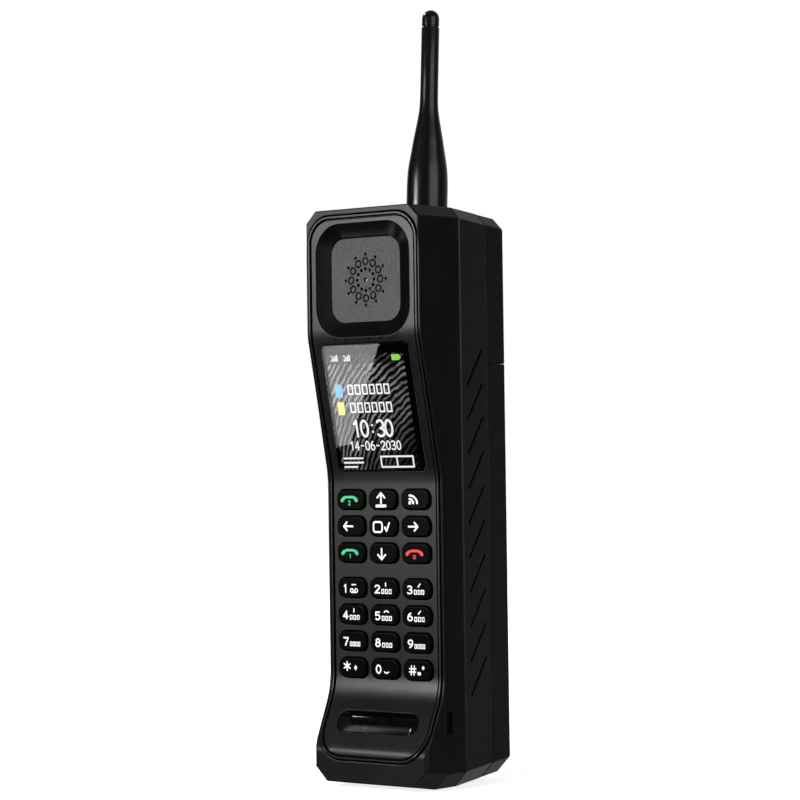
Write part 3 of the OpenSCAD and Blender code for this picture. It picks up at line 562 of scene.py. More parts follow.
def fill_front(shell, loops, depth):
    """Triangles between an outer loop and the holes in it, over extra points on the front surface."""
    step_x, step_z, room = 2.4, 1.2, 0.6
    outlines = [[(shell.points[i].x, shell.points[i].z) for i in loop] for loop in loops]
    boxes = [(min(p[0] for p in o), max(p[0] for p in o), min(p[1] for p in o), max(p[1] for p in o))
             for o in outlines]
    every = [p for outline in outlines for p in outline]
    tree = kdtree.KDTree(len(every))
    for i, p in enumerate(every):
        tree.insert((p[0], p[1], 0), i)
    tree.balance()

    def in_sheet(point):
        for k, (outline, box) in enumerate(zip(outlines, boxes)):
            near = box[0] <= point[0] <= box[1] and box[2] <= point[1] <= box[3]
            if (near and inside(point, outline)) != (k == 0):
                return False
        return True

    left, right, low, high = boxes[0]
    extra = []
    for row in range(1, int((high - low) / step_z) + 1):
        for column in range(1, int((right - left) / step_x) + 1):
            point = (left + column * step_x, low + row * step_z)
            if tree.find((point[0], point[1], 0))[2] > room and in_sheet(point):
                extra.append(point)
    ids = [i for loop in loops for i in loop] + shell.ring(on_front(extra, depth))
    edges = []
    first = 0
    for loop in loops:
        count = len(loop)
        edges.extend((first + i, first + (i + 1) % count) for i in range(count))
        first += count
    flat = [Vector(p) for p in every + extra]
    places, _, triangles, sources, _, _ = delaunay_2d_cdt(flat, edges, [], 0, 1e-6)
    for triangle in triangles:
        middle = sum((places[i] for i in triangle), Vector((0, 0))) / 3
        if in_sheet(tuple(middle)):
            shell.faces.append(tuple(ids[sources[i][0]] for i in triangle))


# Edge of the fascia, from its face outward: inset from the outline and depth under the front surface
EDGE_GROOVE = ((1.9, 0.4), (1.8, 0.4), (1.74, 0.43), (1.7, 0.5), (1.42, 1.3), (1.38, 1.3), (1.1, 0.3))
EDGE_BEAD = ((1.07, 0.12), (1.0, 0.02), (0.75, 0.0), (0.49, 0.02), (0.4, 0.12), (0.36, 0.3))
EDGE_STEPS = EDGE_GROOVE + EDGE_BEAD + ((0.35, FASCIA_BACK),)
KEY_LIP = 0.12
# Other openings: place, width, height, corner radius, rounding of the lip, and points along x and y
HOLES = ((ON_EAR, 39.7, 37.9, 10, 0.25, 12, 12), (ON_SCREEN, 37.8, 44, 2.3, 0.15, 20, 24),
         (ON_MOUTH, 34.4, 7.8, 3.89, 0.2, 18, 1))


def lip(radius, depth, steps=4, border=0.1):
    """Growth and depth of the rings of a flat border, a rounded lip and the straight wall under it."""
    angles = [math.radians(90 * i / steps) for i in range(steps + 1)]
    bend = [(radius * (1 - math.sin(a)), radius * (1 - math.cos(a))) for a in angles]
    return [(radius + border, 0)] + bend + [(0, depth)]


def add_fascia():
    shell = Shell()
    loops = [shell.sleeve([on_front(fascia_ring(inset), depth) for inset, depth in EDGE_STEPS])]
    through = FASCIA_BACK - RIM
    for i in range(len(KEY_NAMES)):
        rings = []
        for grow, depth in lip(KEY_LIP, through):
            ring = rounded_ring(*key_size(KEY_GAP + grow), 8, 6, 4, key_place(i))
            rings.append(on_front(ring, RIM + depth))
        loops.append(shell.sleeve(rings))
    for matrix, width, height, radius, round_by, side_x, side_y in HOLES:
        rings = []
        for grow, depth in lip(round_by, through):
            ring = rounded_ring(width + 2 * grow, height + 2 * grow, radius + grow, 12, side_x, side_y)
            rings.append([matrix @ Vector(p) for p in lifted(ring, -depth)])
        loops.append(shell.sleeve(rings))
    fill_front(shell, [loop[0] for loop in loops], RIM)
    fill_front(shell, [loop[1] for loop in loops], FASCIA_BACK)
    add_piece("fascia_skin", shell, LOOKS["fascia"], "phone", replaces=("front_fascia",), sharp=40)


add_fascia()


# Earpiece dish, mouthpiece bowl, lens and antenna


def between(a, b, share):
    """Sizes part of the way from a to b."""
    return [p + (q - p) * share for p, q in zip(a, b)]


# Rings of the dish: width, height and corner radius
DISH_FRAME = (39.5, 37.7, 9.9)
DISH_BEVEL = (39.4, 37.6, 9.85)
DISH_RIM = (39.1, 37.3, 9.7)
DISH_FOOT = (29.5, 28.5, 5.6)
PAD_SEAT = (29.3, 28.3, 5.5)
SOUND_HOLE = (22, 22, 10.99)
DISH_RIM_Z = -0.2
DISH_DROP = 1.82
PAD_SEAT_Z = -3.2
DISH_BACK_Z = -4.0


def add_dish():
    """Frame with a wall that curves down to the pad's seat, open in the middle."""
    steps = [(DISH_FRAME, DISH_BACK_Z), (DISH_FRAME, -0.4), (DISH_BEVEL, -0.25), (DISH_RIM, DISH_RIM_Z)]
    for i in range(1, 9):
        share = i / 8
        drop = DISH_DROP * (1 - (1 - share) ** 1.15)
        steps.append((between(DISH_RIM, DISH_FOOT, share), DISH_RIM_Z - drop))
    steps += [(PAD_SEAT, -2.1), (PAD_SEAT, PAD_SEAT_Z), (SOUND_HOLE, PAD_SEAT_Z), (SOUND_HOLE, DISH_BACK_Z)]
    rings = [lifted(rounded_ring(*size, 12, 6, 6), z) for size, z in steps]
    add_piece("earpiece_dish", Shell().loft(rings, True), LOOKS["gloss_black"], "phone",
              ON_EAR, ("earpiece_recess",))


# Rings of the bowl: width, height and place up the slope
BOWL_FRAME = (34.2, 7.6, 0)
BOWL_BEVEL = (34.1, 7.5, 0)
BOWL_RIM = (33.8, 7.2, 0)
BOWL_FLOOR = (26.4, 1.6, 1.7)
BOWL_RIM_Z = -0.1
BOWL_DROP = 1.9
BOWL_BACK_Z = -3.2
MIC_HOLE = (1.2, 1.2, 0.59)
MIC_PLACE = (3.7, 1.7)


def add_bowl():
    """Scoop whose wall curves down to a narrow floor with the microphone's hole."""
    steps = [(BOWL_FRAME, BOWL_BACK_Z), (BOWL_FRAME, -0.4), (BOWL_BEVEL, -0.2), (BOWL_RIM, BOWL_RIM_Z)]
    for i in range(1, 11):
        share = i / 10
        drop = BOWL_DROP * (1 - (1 - share) ** 1.4)
        steps.append((between(BOWL_RIM, BOWL_FLOOR, share), BOWL_RIM_Z - drop))
    rings = [lifted(rounded_ring(w, h, h / 2 - 0.01, 10, 12, 1, (0, y)), z) for (w, h, y), z in steps]
    hole = rounded_ring(*MIC_HOLE, 10, 12, 1, MIC_PLACE)
    rings += [lifted(hole, BOWL_RIM_Z - BOWL_DROP), lifted(hole, BOWL_BACK_Z)]
    add_piece("mouthpiece_bowl", Shell().loft(rings, True), LOOKS["bowl_black"], "phone",
              ON_MOUTH, ("mouthpiece_insert",), sharp=30)


LENS_SIZE = (37.6, 43.8, 2.2)
LENS_EDGE = 0.18
LENS_TOP = 0.25
LENS_BACK = -0.7


def add_lens():
    """Plate with a flat edge at 45 degrees."""
    width, height, radius = LENS_SIZE
    steps = ((0, LENS_BACK), (0, LENS_TOP - LENS_EDGE), (LENS_EDGE, LENS_TOP), (0.4, LENS_TOP))
    rings = [lifted(rounded_ring(width - 2 * s, height - 2 * s, radius - s), z) for s, z in steps]
    add_piece("lens_plate", Shell().loft(rings), LOOKS["lens"], "phone", ON_SCREEN, ("display_lens",))


# Antenna, about its own axis and up from its foot
ANTENNA_LENGTH = 70.0
SLEEVE_TOP = 64.0
TIP_R = 3.05
BASE_R = 7.0
SOCKET_R = 5.55
SOCKET_TOP = 2.1
ROD_R = 1.1
ROD_TOP = 67.1
CAP_R = 2.95
CAP_NECK_R = 2.65
CAP_FOOT = 64.5
CAP_SINK = 0.02
# Share of the length, and share of the way from the tip's radius to the foot's
FLARE = ((0.12, 1), (0.168, 0.98), (0.217, 0.92), (0.266, 0.79), (0.315, 0.64), (0.364, 0.5),
         (0.413, 0.34), (0.462, 0.18), (0.511, 0.055), (0.56, 0.01))


def smooth_line(points, steps=4):
    """Catmull-Rom points through a list of points."""
    ends = [points[0]] + list(points) + [points[-1]]
    result = []
    for a, b, c, d in zip(ends, ends[1:], ends[2:], ends[3:]):
        for i in range(steps):
            t = i / steps
            result.append(0.5 * (2 * b + (c - a) * t + (2 * a - 5 * b + 4 * c - d) * t ** 2
                                 + (3 * b - a - 3 * c + d) * t ** 3))
    return result + [points[-1]]


def add_antenna():
    """Flared sleeve round the rod, and the cap with a round top that closes it."""
    flare = [Vector((TIP_R + (BASE_R - TIP_R) * share, place * ANTENNA_LENGTH)) for place, share in FLARE]
    profile = [(SOCKET_R, -0.5), (6.7, -0.5), (6.92, -0.4), (BASE_R, -0.2), (BASE_R, 4.0)]
    profile += [tuple(p) for p in smooth_line(flare)]
    profile += [(TIP_R, 44.0), (TIP_R, 63.75), (2.98, 63.92), (2.8, SLEEVE_TOP)]
    profile += [(ROD_R, SLEEVE_TOP), (ROD_R, SOCKET_TOP), (SOCKET_R, SOCKET_TOP)]
    rings = [circle(r, z) for r, z in profile]
    add_piece("antenna_skin", Shell().loft(rings, True), LOOKS["antenna"], "antenna", ON_ANTENNA,
              ("antenna_sleeve",))
    dome = ANTENNA_LENGTH - CAP_R - CAP_SINK
    profile = [(ROD_R, ROD_TOP), (ROD_R, SLEEVE_TOP), (CAP_NECK_R, SLEEVE_TOP), (CAP_NECK_R, CAP_FOOT),
               (2.85, CAP_FOOT), (CAP_R, CAP_FOOT + 0.12)]
    for angle in (math.radians(a) for a in range(0, 89, 8)):
        profile.append((CAP_R * math.cos(angle), dome + CAP_R * math.sin(angle)))
    rings = [circle(r, z) for r, z in profile]
    add_piece("antenna_cap", Shell().loft(rings), LOOKS["antenna"], "antenna", ON_ANTENNA,
              ("antenna_tip_cap",))


add_dish()
add_bowl()
add_lens()
add_antenna()


# Flat marks: strokes, digits and plain signs


def capsule(a, b, width, steps=6):
    """Outline of a stroke with round ends."""
    a, b = Vector(a), Vector(b)
    along = (b - a).normalized() if (b - a).length > 1e-6 else Vector((1, 0))
    start = math.atan2(along.y, along.x)
    points = []
    for middle, first in ((b, start - math.pi / 2), (a, start + math.pi / 2)):
        for i in range(steps + 1):
            angle = first + math.pi * i / steps
            points.append(middle + Vector((math.cos(angle), math.sin(angle))) * width / 2)
    return points


def path(points, width):
    return [capsule(a, b, width) for a, b in zip(points, points[1:])]


def arc_points(x, y, rx, ry, start, end, steps=12):
    angles = [math.radians(start + (end - start) * i / steps) for i in range(steps + 1)]
    return [(x + rx * math.cos(a), y + ry * math.sin(a)) for a in angles]


def turned(points):
    return [(-x, -y) for x, y in points]


SIX = [arc_points(0, -0.2, 0.26, 0.28, 0, 360, 16), arc_points(0.2, -0.2, 0.46, 0.68, 105, 180, 8)]
DIGITS = {
    "0": [arc_points(0, 0, 0.26, 0.48, 0, 360, 20)],
    "1": [[(-0.14, 0.28), (0.05, 0.48), (0.05, -0.48)]],
    "2": [arc_points(0, 0.22, 0.26, 0.26, 165, -35) + [(-0.26, -0.48), (0.28, -0.48)]],
    "3": [arc_points(-0.02, 0.24, 0.24, 0.24, 145, -90), arc_points(-0.02, -0.24, 0.28, 0.24, 90, -145)],
    "4": [[(0.12, -0.48), (0.12, 0.48), (-0.28, -0.2), (0.28, -0.2)]],
    "5": [[(0.23, 0.48), (-0.2, 0.48), (-0.22, 0.06)], arc_points(-0.01, -0.17, 0.27, 0.31, 130, -140)],
    "6": SIX,
    "7": [[(-0.27, 0.48), (0.27, 0.48), (-0.08, -0.48)]],
    "8": [arc_points(0, 0.25, 0.21, 0.23, 0, 360, 16), arc_points(0, -0.23, 0.26, 0.25, 0, 360, 16)],
    "9": [turned(line) for line in SIX],
    ":": [[(0, 0.2), (0, 0.2001)], [(0, -0.2), (0, -0.2001)]],
    "-": [[(-0.16, 0), (0.16, 0)]],
}


def digits(text, x, y, height, weight, pitch=0.78, wide=1.0):
    """Strokes of a row of digits about a middle."""
    outlines = []
    first = x - (len(text) - 1) / 2 * pitch * height
    for i, sign in enumerate(text):
        middle = first + i * pitch * height
        for line in DIGITS[sign]:
            outlines += path([(middle + p[0] * height * wide, y + p[1] * height) for p in line], weight)
    return outlines


def box_line(x, y, width, height, weight):
    """Outline of a box drawn as a stroke."""
    w, h = width / 2, height / 2
    return path([(x - w, y - h), (x + w, y - h), (x + w, y + h), (x - w, y + h), (x - w, y - h)], weight)


def ring_line(x, y, width, height, radius, weight):
    """Outline of a box with round corners, drawn as a stroke."""
    points = [tuple(p) for p in rounded_ring(width, height, radius, 4, 1, 1, (x, y))]
    return path(points + points[:1], weight)


def block(x, y, width, height, radius=0.2):
    return [[tuple(p) for p in rounded_ring(width, height, radius, 3, 1, 1, (x, y))]]


def boxes(x, y, count, width, height, pitch, weight):
    """A row of empty boxes, standing where the pictured phone has words."""
    first = x - (count - 1) / 2 * pitch
    row = [box_line(first + i * pitch, y, width, height, weight) for i in range(count)]
    return [outline for box in row for outline in box]


def flat_solid(outlines, low, high):
    """Thin plate under the union of the outlines."""
    points, loops = [], []
    for outline in outlines:
        loops.append(list(range(len(points), len(points) + len(outline))))
        points.extend(Vector(p) for p in outline)
    places, _, triangles, _, _, owners = delaunay_2d_cdt(points, [], loops, 1, 1e-4)
    kept = [tuple(t) for t, owner in zip(triangles, owners) if owner]
    shell = Shell()
    count = len(places)
    shell.ring([(p.x, p.y, high) for p in places])
    shell.ring([(p.x, p.y, low) for p in places])
    sides = {}
    for a, b, c in kept:
        shell.faces.append((a, b, c))
        shell.faces.append((a + count, c + count, b + count))
        for pair in ((a, b), (b, c), (c, a)):
            sides[pair] = True
    for a, b in sides:
        if (b, a) not in sides:
            shell.faces.append((b, a, a + count, b + count))
    used = sorted({i for face in shell.faces for i in face})
    renumber = {old: new for new, old in enumerate(used)}
    shell.points = [shell.points[i] for i in used]
    shell.faces = [tuple(renumber[i] for i in face) for face in shell.faces]
    return shell


# Keycaps and their legends


STEM = (3, 3, 1.49)
STEM_BACK = -4.0
FLANGE = 0.5
FLANGE_BACK = -3.65
FLANGE_TOP = -3.15
KEY_EDGE = 0.5


def add_keycap(i):
    """Stem, flange behind the fascia, straight sides and a flat top with a round edge."""
    name = KEY_NAMES[i]
    steps = [(STEM, STEM_BACK), (STEM, FLANGE_BACK), (key_size(FLANGE), FLANGE_BACK),
             (key_size(FLANGE), FLANGE_TOP), (key_size(0), FLANGE_TOP), (key_size(0), -KEY_EDGE)]
    for angle in (math.radians(a) for a in (22.5, 45, 67.5, 90)):
        inset = KEY_EDGE * (1 - math.cos(angle))
        steps.append((key_size(-inset), -KEY_EDGE + KEY_EDGE * math.sin(angle)))
    steps.append((key_size(-KEY_EDGE - 0.1), 0))
    rings = [lifted(rounded_ring(*size), z) for size, z in steps]
    add_piece(name + "_cap", Shell().loft(rings), LOOKS["keys"], name, on_key(i), (name,))


STROKE = 0.5
FINE_STROKE = 0.42


def handset(x, y):
    """Flat receiver with two drooping ends."""
    back = path([(x - 2.4, y + 0.3), (x - 1.3, y + 0.6), (x + 1.3, y + 0.6), (x + 2.4, y + 0.3)], 0.85)
    ends = [capsule((x + s * 2.6, y), (x + s * 3.1, y - 0.5), 1.25) for s in (-1, 1)]
    return back + ends


def arrow(x, y, dx, dy, length, head):
    """Arrow with an open head, pointing along dx, dy."""
    tip = Vector((x, y)) + Vector((dx, dy)) * length / 2
    tail = Vector((x, y)) - Vector((dx, dy)) * length / 2
    side = Vector((-dy, dx)) * head / 2
    back = tip - Vector((dx, dy)) * head / 2
    return path([tail, tip], 0.6) + path([back + side, tip, back - side], 0.6)


def number_key(sign, count, accent):
    """Digit at the left, a row of empty boxes at the lower right and a short mark over it."""
    width = 4.2 / count
    marks = digits(sign, -2.6, -0.2, 2.6, STROKE, wide=1.35)
    marks += boxes(1.3, -0.95, count, width * 0.62, 1.3, width * 1.1, 0.3)
    return marks + path(accent, FINE_STROKE)


def strokes(lines, weight):
    """Strokes along several lines."""
    return [outline for line in lines for outline in path(line, weight)]


def diamond(x, y, half_width, half_height):
    return [[(x - half_width, y), (x, y - half_height), (x + half_width, y), (x, y + half_height)]]


def round_line(x, y, rx, ry, weight):
    """Ellipse drawn as a stroke."""
    return path(arc_points(x, y, rx, ry, 0, 360, 12), weight)


def signal_sign():
    """Two arcs that spread from a dot."""
    arcs = (arc_points(-2.2, -1.2, 1.6, 1.4, 0, 90, 8), arc_points(-2.2, -1.2, 3.2, 2.6, 0, 90, 10))
    return strokes(arcs, 0.65) + [capsule((-2.1, -1.1), (-2.0, -1.0), 1.1)]


def reel_sign():
    """Two rings joined by a line, with a bar over them."""
    rings = round_line(0.2, -0.9, 0.62, 0.6, 0.36) + round_line(2.1, -0.9, 0.62, 0.6, 0.36)
    return path([(0.3, 1.1), (1.9, 1.1)], FINE_STROKE) + rings + path([(0.2, -1.5), (2.1, -1.5)], 0.36)


def star_sign():
    return strokes([arc_points(-2.3, 0.5, 1.45, 1.45, a, a + 180, 1) for a in (90, 30, 150)], STROKE)


def hash_sign():
    return strokes((((-2.5, -1.5), (-2.3, 1.5)), ((-1.3, -1.5), (-1.1, 1.5)),
                    ((-3.1, 0.55), (-0.5, 0.55)), ((-3.2, -0.55), (-0.6, -0.55))), FINE_STROKE)


TICK = [(1.0, 0.9), (1.0, 1.9)]
SLANT = [(0.9, 0.8), (1.8, 1.8)]
HOOK = arc_points(1.2, 1.0, 0.9, 0.5, 10, 170, 6)
NO_ACCENT = []
LEGENDS = {
    "key_call_two": (GREEN_INK, handset(-0.4, 0.3) + digits("2", -0.4, -1.1, 1.4, 0.32)),
    "key_up": (WHITE_INK, arrow(-0.5, 0.5, 0, 1, 3.5, 3.2) + path([(-2.4, -2.1), (1.4, -2.1)], 0.95)),
    "key_menu": (WHITE_INK, signal_sign()),
    "key_left": (WHITE_INK, arrow(-1.0, 0, -1, 0, 3.8, 2.7)),
    "key_select": (WHITE_INK, ring_line(-2.0, -0.2, 3.7, 3.4, 0.9, 0.6)
                   + path([(1.0, -0.3), (1.7, -1.6), (2.9, 1.2)], 0.6)),
    "key_right": (WHITE_INK, arrow(-0.8, 0, 1, 0, 3.8, 2.7)),
    "key_call_one": (GREEN_INK, handset(-0.4, 0.3) + digits("1", -0.3, -1.1, 1.4, 0.32)),
    "key_down": (WHITE_INK, arrow(-0.5, -0.3, 0, -1, 3.6, 3.2)),
    "key_end": (RED_INK, handset(-0.4, 0.3) + round_line(-0.4, -1.1, 0.5, 0.6, 0.32)),
    "key_1": (WHITE_INK, digits("1", -2.6, -0.2, 2.6, STROKE) + reel_sign()),
    "key_star": (WHITE_INK, star_sign() + diamond(1.4, 0, 0.7, 0.9)),
    "key_0": (WHITE_INK, digits("0", -2.5, -0.1, 2.7, STROKE, wide=1.35)
              + path(arc_points(0.9, -0.7, 0.9, 0.6, 200, 340, 6), FINE_STROKE)),
    "key_hash": (WHITE_INK, hash_sign() + block(0.9, -1.0, 1.3, 1.1) + diamond(2.6, 1.0, 0.6, 0.7)),
}
for sign, count, accent in (("2", 3, TICK), ("3", 3, SLANT), ("4", 3, TICK), ("5", 3, HOOK), ("6", 3, SLANT),
                            ("7", 4, NO_ACCENT), ("8", 3, NO_ACCENT), ("9", 4, NO_ACCENT)):
    LEGENDS["key_" + sign] = (WHITE_INK, number_key(sign, count, accent))

for i, name in enumerate(KEY_NAMES):
    add_keycap(i)
    legend_ink, marks = LEGENDS[name]
    add_piece(name + "_legend", flat_solid(marks, -0.02, 0.03), legend_ink, name, on_key(i))


# Lit signs on the screen's film

FILM_TOP = -0.75
SIGN_LOW = -0.01
SHADE_HIGH = 0.01
SIGN_HIGH = 0.03


def add_sign(name, marks, look, high=SIGN_HIGH):
    shell = flat_solid(marks, FILM_TOP + SIGN_LOW, FILM_TOP + high)
    add_piece("screen_" + name, shell, look, "phone", ON_SCREEN)


def bars(x, y):
    """Four bars that rise to the right."""
    rows = [block(x + i * 0.75, y + i * 0.25, 0.5, 0.8 + i * 0.5, 0.05) for i in range(4)]
    return [outline for row in rows for outline in row]


def outlined(name, make):
    """White strokes with a dark line round them; the maker takes a stroke width."""
    add_sign(name + "_shade", make(1.25), BLACK_LIT, SHADE_HIGH)
    add_sign(name, make(0.62), WHITE_LIT)


def menu_sign(width):
    """Three lines, the last one short."""
    rows = ((-17.4, -8.2), (-18.9, -8.2), (-20.4, -11.0))
    return strokes([((-16.4, y), (right, y)) for y, right in rows], width)


def book_sign(width):
    """Box divided in two."""
    return box_line(6.4, -18.7, 13.6, 3.6, width) + path([(6.4, -20.4), (6.4, -17.0)], width)


add_sign("signal_left", bars(-15.2, 16.4) + path([(-15.6, 18.0), (-14.6, 17.4)], 0.3), WHITE_LIT)
add_sign("signal_right", bars(-9.8, 16.3) + path([(-10.2, 17.9), (-9.2, 17.3)], 0.3), WHITE_LIT)
add_sign("charge", block(12.0, 16.7, 3.3, 2.0, 0.3) + block(13.9, 16.7, 0.5, 1.0, 0.1), GREEN_LIT)
add_sign("card_one", block(-14.3, 5.9, 3.1, 4.5, 0.5), BLUE_LIT)
add_sign("card_two", block(-14.3, -0.2, 3.0, 4.5, 0.5), YELLOW_LIT)
outlined("line_one", lambda width: boxes(-1.4, 6.2, 6, 1.9, 3.0, 3.1, width))
outlined("line_two", lambda width: boxes(-1.4, 0.0, 6, 1.9, 3.0, 3.1, width))
outlined("time", lambda width: digits("10:30", -2.1, -7.2, 5.6, width * 1.5, 0.62))
outlined("date", lambda width: digits("14-06-2030", -2.0, -13.1, 3.0, width * 0.85, 0.74))
outlined("menu", menu_sign)
outlined("book", book_sign)


# Camera, fitted to the photograph's view of the body

VIEW_AZIMUTH = math.radians(38.001)
VIEW_PITCH = math.radians(1.148)
VIEW_ROLL = math.radians(0.807)
VIEW_DISTANCE = 932.842
AIM_RIGHT = -2.268
AIM_DEPTH = -0.7
AIM_HEIGHT = 129.675
FOCAL_PIXELS = 2745.861
IMAGE_PIXELS = 800


def add_camera():
    data = bpy.data.cameras.new("camera")
    data.sensor_width = 36
    data.lens = FOCAL_PIXELS / IMAGE_PIXELS * data.sensor_width
    data.clip_start = 0.01
    data.clip_end = 50
    level = math.cos(VIEW_PITCH)
    back = Vector((math.sin(VIEW_AZIMUTH) * level, -math.cos(VIEW_AZIMUTH) * level, -math.sin(VIEW_PITCH)))
    right = Vector((math.cos(VIEW_AZIMUTH), math.sin(VIEW_AZIMUTH), 0))
    up = back.cross(right)
    place = Vector((0, AIM_DEPTH, AIM_HEIGHT)) + right * AIM_RIGHT + back * VIEW_DISTANCE
    turned_right = right * math.cos(VIEW_ROLL) - up * math.sin(VIEW_ROLL)
    turned_up = right * math.sin(VIEW_ROLL) + up * math.cos(VIEW_ROLL)
    matrix = Matrix((turned_right, turned_up, back)).transposed().to_4x4()
    matrix.translation = place * MM
    camera = bpy.data.objects.new("camera", data)
    camera.matrix_world = matrix
    bpy.context.scene.collection.objects.link(camera)
    bpy.context.scene.camera = camera
    return matrix.translation


eye = add_camera()


# Studio: soft lamps, a pale floor and a white surround

TARGET = Vector((0, 0, 0.11))


def area_light(name, azimuth, elevation, distance, width, height, power, gloss_only=False):
    """Lamp aimed at the part, in degrees, metres and watts; azimuth grows from the front to the right."""
    data = bpy.data.lights.new(name, "AREA")
    data.shape = "RECTANGLE"
    data.size = width
    data.size_y = height
    data.energy = power
    lamp = bpy.data.objects.new(name, data)
    turn, rise = math.radians(azimuth), math.radians(elevation)
    away = Vector((math.sin(turn) * math.cos(rise), -math.cos(turn) * math.cos(rise), math.sin(rise)))
    lamp.location = TARGET + away * distance
    lamp.rotation_euler = (-away).to_track_quat("-Z", "Y").to_euler()
    lamp.visible_camera = False
    lamp.visible_diffuse = not gloss_only
    bpy.context.scene.collection.objects.link(lamp)
    return lamp


area_light("key_light", -20, 32, 1.4, 0.9, 0.7, 27).visible_glossy = False
back = area_light("back_light", 200, 20, 1.4, 0.9, 0.7, 5)
back.visible_glossy = False
back.data.use_shadow = False
area_light("key_gloss", -29, 9.5, 1.3, 0.35, 0.3, 97, True)
area_light("side_gloss", 75, 10, 1.2, 1.0, 1.0, 70, True)
area_light("left_gloss", -103, 50, 1.2, 0.3, 0.2, 0.25, True)
area_light("spot_gloss", -97, 41, 1.2, 0.1, 0.1, 15, True)


# Ends of the glare's edge on the lens, in millimetres, and the lamp card that makes it, in metres
GLARE_ENDS = (Vector((6.4, 21.9, LENS_TOP)), Vector((-17.7, -21.5, LENS_TOP)))
CARD_LENGTH = 0.207
CARD_WIDTH = 0.16
CARD_SHIFT = 0.0465
CARD_HEIGHT = 0.003
CARD_RADIANCE = 5


def add_glare():
    """Lamp card whose mirror image covers the upper left of the lens, as far as the glare's edge."""
    normal = (ON_SCREEN.to_3x3() @ Vector((0, 0, 1))).normalized()
    spots = []
    for point in GLARE_ENDS:
        place = (ON_SCREEN @ point) * MM
        sight = (place - eye).normalized()
        way = sight - 2 * sight.dot(normal) * normal
        spots.append(place - way * (place.z - CARD_HEIGHT) / way.z)
    along = (spots[1] - spots[0]).normalized()
    outward = Vector((along.y, -along.x, 0))
    if outward.x > 0:
        outward = -outward
    data = bpy.data.lights.new("glare_card", "AREA")
    data.shape = "RECTANGLE"
    data.size = CARD_LENGTH
    data.size_y = CARD_WIDTH
    data.energy = CARD_RADIANCE * math.pi * data.size * data.size_y
    lamp = bpy.data.objects.new("glare_card", data)
    middle = (spots[0] + spots[1]) / 2 - along * CARD_SHIFT + outward * data.size_y / 2
    facing = Vector((0, 0, -1))
    lamp.matrix_world = Matrix((along, facing.cross(along), facing)).transposed().to_4x4()
    lamp.matrix_world.translation = middle
    lamp.visible_camera = False
    lamp.visible_diffuse = False
    bpy.context.scene.collection.objects.link(lamp)


add_glare()


def add_flag(name, width, depth, place, azimuth, turn):
    """Black card, in metres and degrees, that shows in mirrors and through glass but not to the camera."""
    mesh = bpy.data.meshes.new(name)
    x, y = width / 2, depth / 2
    mesh.from_pydata([(-x, -y, 0), (x, -y, 0), (x, y, 0), (-x, y, 0)], [], [(0, 1, 2, 3)])
    flag = bpy.data.objects.new(name, mesh)
    flag.matrix_world = Matrix.Translation(place) @ Matrix.Rotation(math.radians(azimuth), 4, "Z") @ turn
    bpy.context.scene.collection.objects.link(flag)
    material = bpy.data.materials.new(name)
    material.use_nodes = True
    material.node_tree.nodes["Principled BSDF"].inputs["Base Color"].default_value = grey(0.0)
    material.node_tree.nodes["Principled BSDF"].inputs["Specular IOR Level"].default_value = 0.0
    mesh.materials.append(material)
    flag.visible_camera = False
    flag.visible_diffuse = False
    flag.visible_shadow = False


add_flag("floor_flag", 1.0, 0.88, Vector((-0.296, -0.378, 0.002)), -38, Matrix())
add_flag("wall_flag", 4.0, 2.4, Vector((-1.39, -0.98, 1.2)), -55, UPRIGHT)


def white_where_seen(tree, plain):
    """A mix that is white to the camera, in mirrors and through glass, and as given for other light."""
    rays = tree.nodes.new("ShaderNodeLightPath")
    seen = rays.outputs["Is Camera Ray"]
    for kind in ("Is Glossy Ray", "Is Transmission Ray"):
        either = tree.nodes.new("ShaderNodeMath")
        either.operation = "MAXIMUM"
        tree.links.new(seen, either.inputs[0])
        tree.links.new(rays.outputs[kind], either.inputs[1])
        seen = either.outputs[0]
    mix = tree.nodes.new("ShaderNodeMixShader")
    tree.links.new(seen, mix.inputs[0])
    tree.links.new(plain, mix.inputs[1])
    return mix


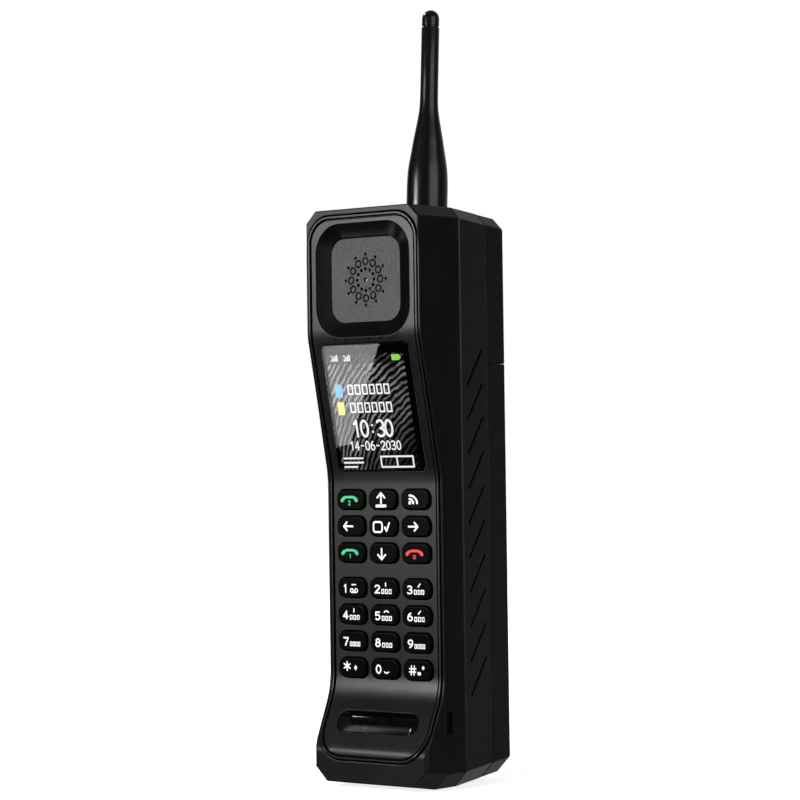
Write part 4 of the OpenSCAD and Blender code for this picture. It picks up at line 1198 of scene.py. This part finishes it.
def add_world():
    world = bpy.data.worlds.new("surround")
    world.use_nodes = True
    tree = world.node_tree
    tree.nodes.clear()
    ambient = tree.nodes.new("ShaderNodeBackground")
    ambient.inputs["Color"].default_value = grey(1.0)
    ambient.inputs["Strength"].default_value = 0.12
    white = tree.nodes.new("ShaderNodeBackground")
    white.inputs["Color"].default_value = grey(1.0)
    white.inputs["Strength"].default_value = 1.0
    mix = white_where_seen(tree, ambient.outputs[0])
    tree.links.new(white.outputs[0], mix.inputs[2])
    output = tree.nodes.new("ShaderNodeOutputWorld")
    tree.links.new(mix.outputs[0], output.inputs[0])
    bpy.context.scene.world = world


def add_floor():
    half = 6.0
    mesh = bpy.data.meshes.new("floor")
    corners = [(-half, -half, 0), (half, -half, 0), (half, half, 0), (-half, half, 0)]
    mesh.from_pydata(corners, [], [(0, 1, 2, 3)])
    floor = bpy.data.objects.new("floor", mesh)
    bpy.context.scene.collection.objects.link(floor)
    material = bpy.data.materials.new("floor_pale")
    material.use_nodes = True
    tree = material.node_tree
    tree.nodes.clear()
    pale = tree.nodes.new("ShaderNodeBsdfDiffuse")
    pale.inputs["Color"].default_value = grey(0.8)
    place = tree.nodes.new("ShaderNodeTexCoord")
    length = tree.nodes.new("ShaderNodeVectorMath")
    length.operation = "LENGTH"
    tree.links.new(place.outputs["Object"], length.inputs[0])
    rise = tree.nodes.new("ShaderNodeMapRange")
    tree.links.new(length.outputs["Value"], rise.inputs["Value"])
    for key, value in (("From Min", 0.2), ("From Max", 1.2), ("To Min", 0.84), ("To Max", 1.0)):
        rise.inputs[key].default_value = value
    glow = tree.nodes.new("ShaderNodeEmission")
    glow.inputs["Color"].default_value = grey(1.0)
    tree.links.new(rise.outputs["Result"], glow.inputs["Strength"])
    both = tree.nodes.new("ShaderNodeAddShader")
    tree.links.new(pale.outputs[0], both.inputs[0])
    tree.links.new(glow.outputs[0], both.inputs[1])
    mix = white_where_seen(tree, pale.outputs[0])
    tree.links.new(both.outputs[0], mix.inputs[2])
    output = tree.nodes.new("ShaderNodeOutputMaterial")
    tree.links.new(mix.outputs[0], output.inputs[0])
    mesh.materials.append(material)


add_world()
add_floor()
bpy.context.scene.view_settings.view_transform = "Standard"
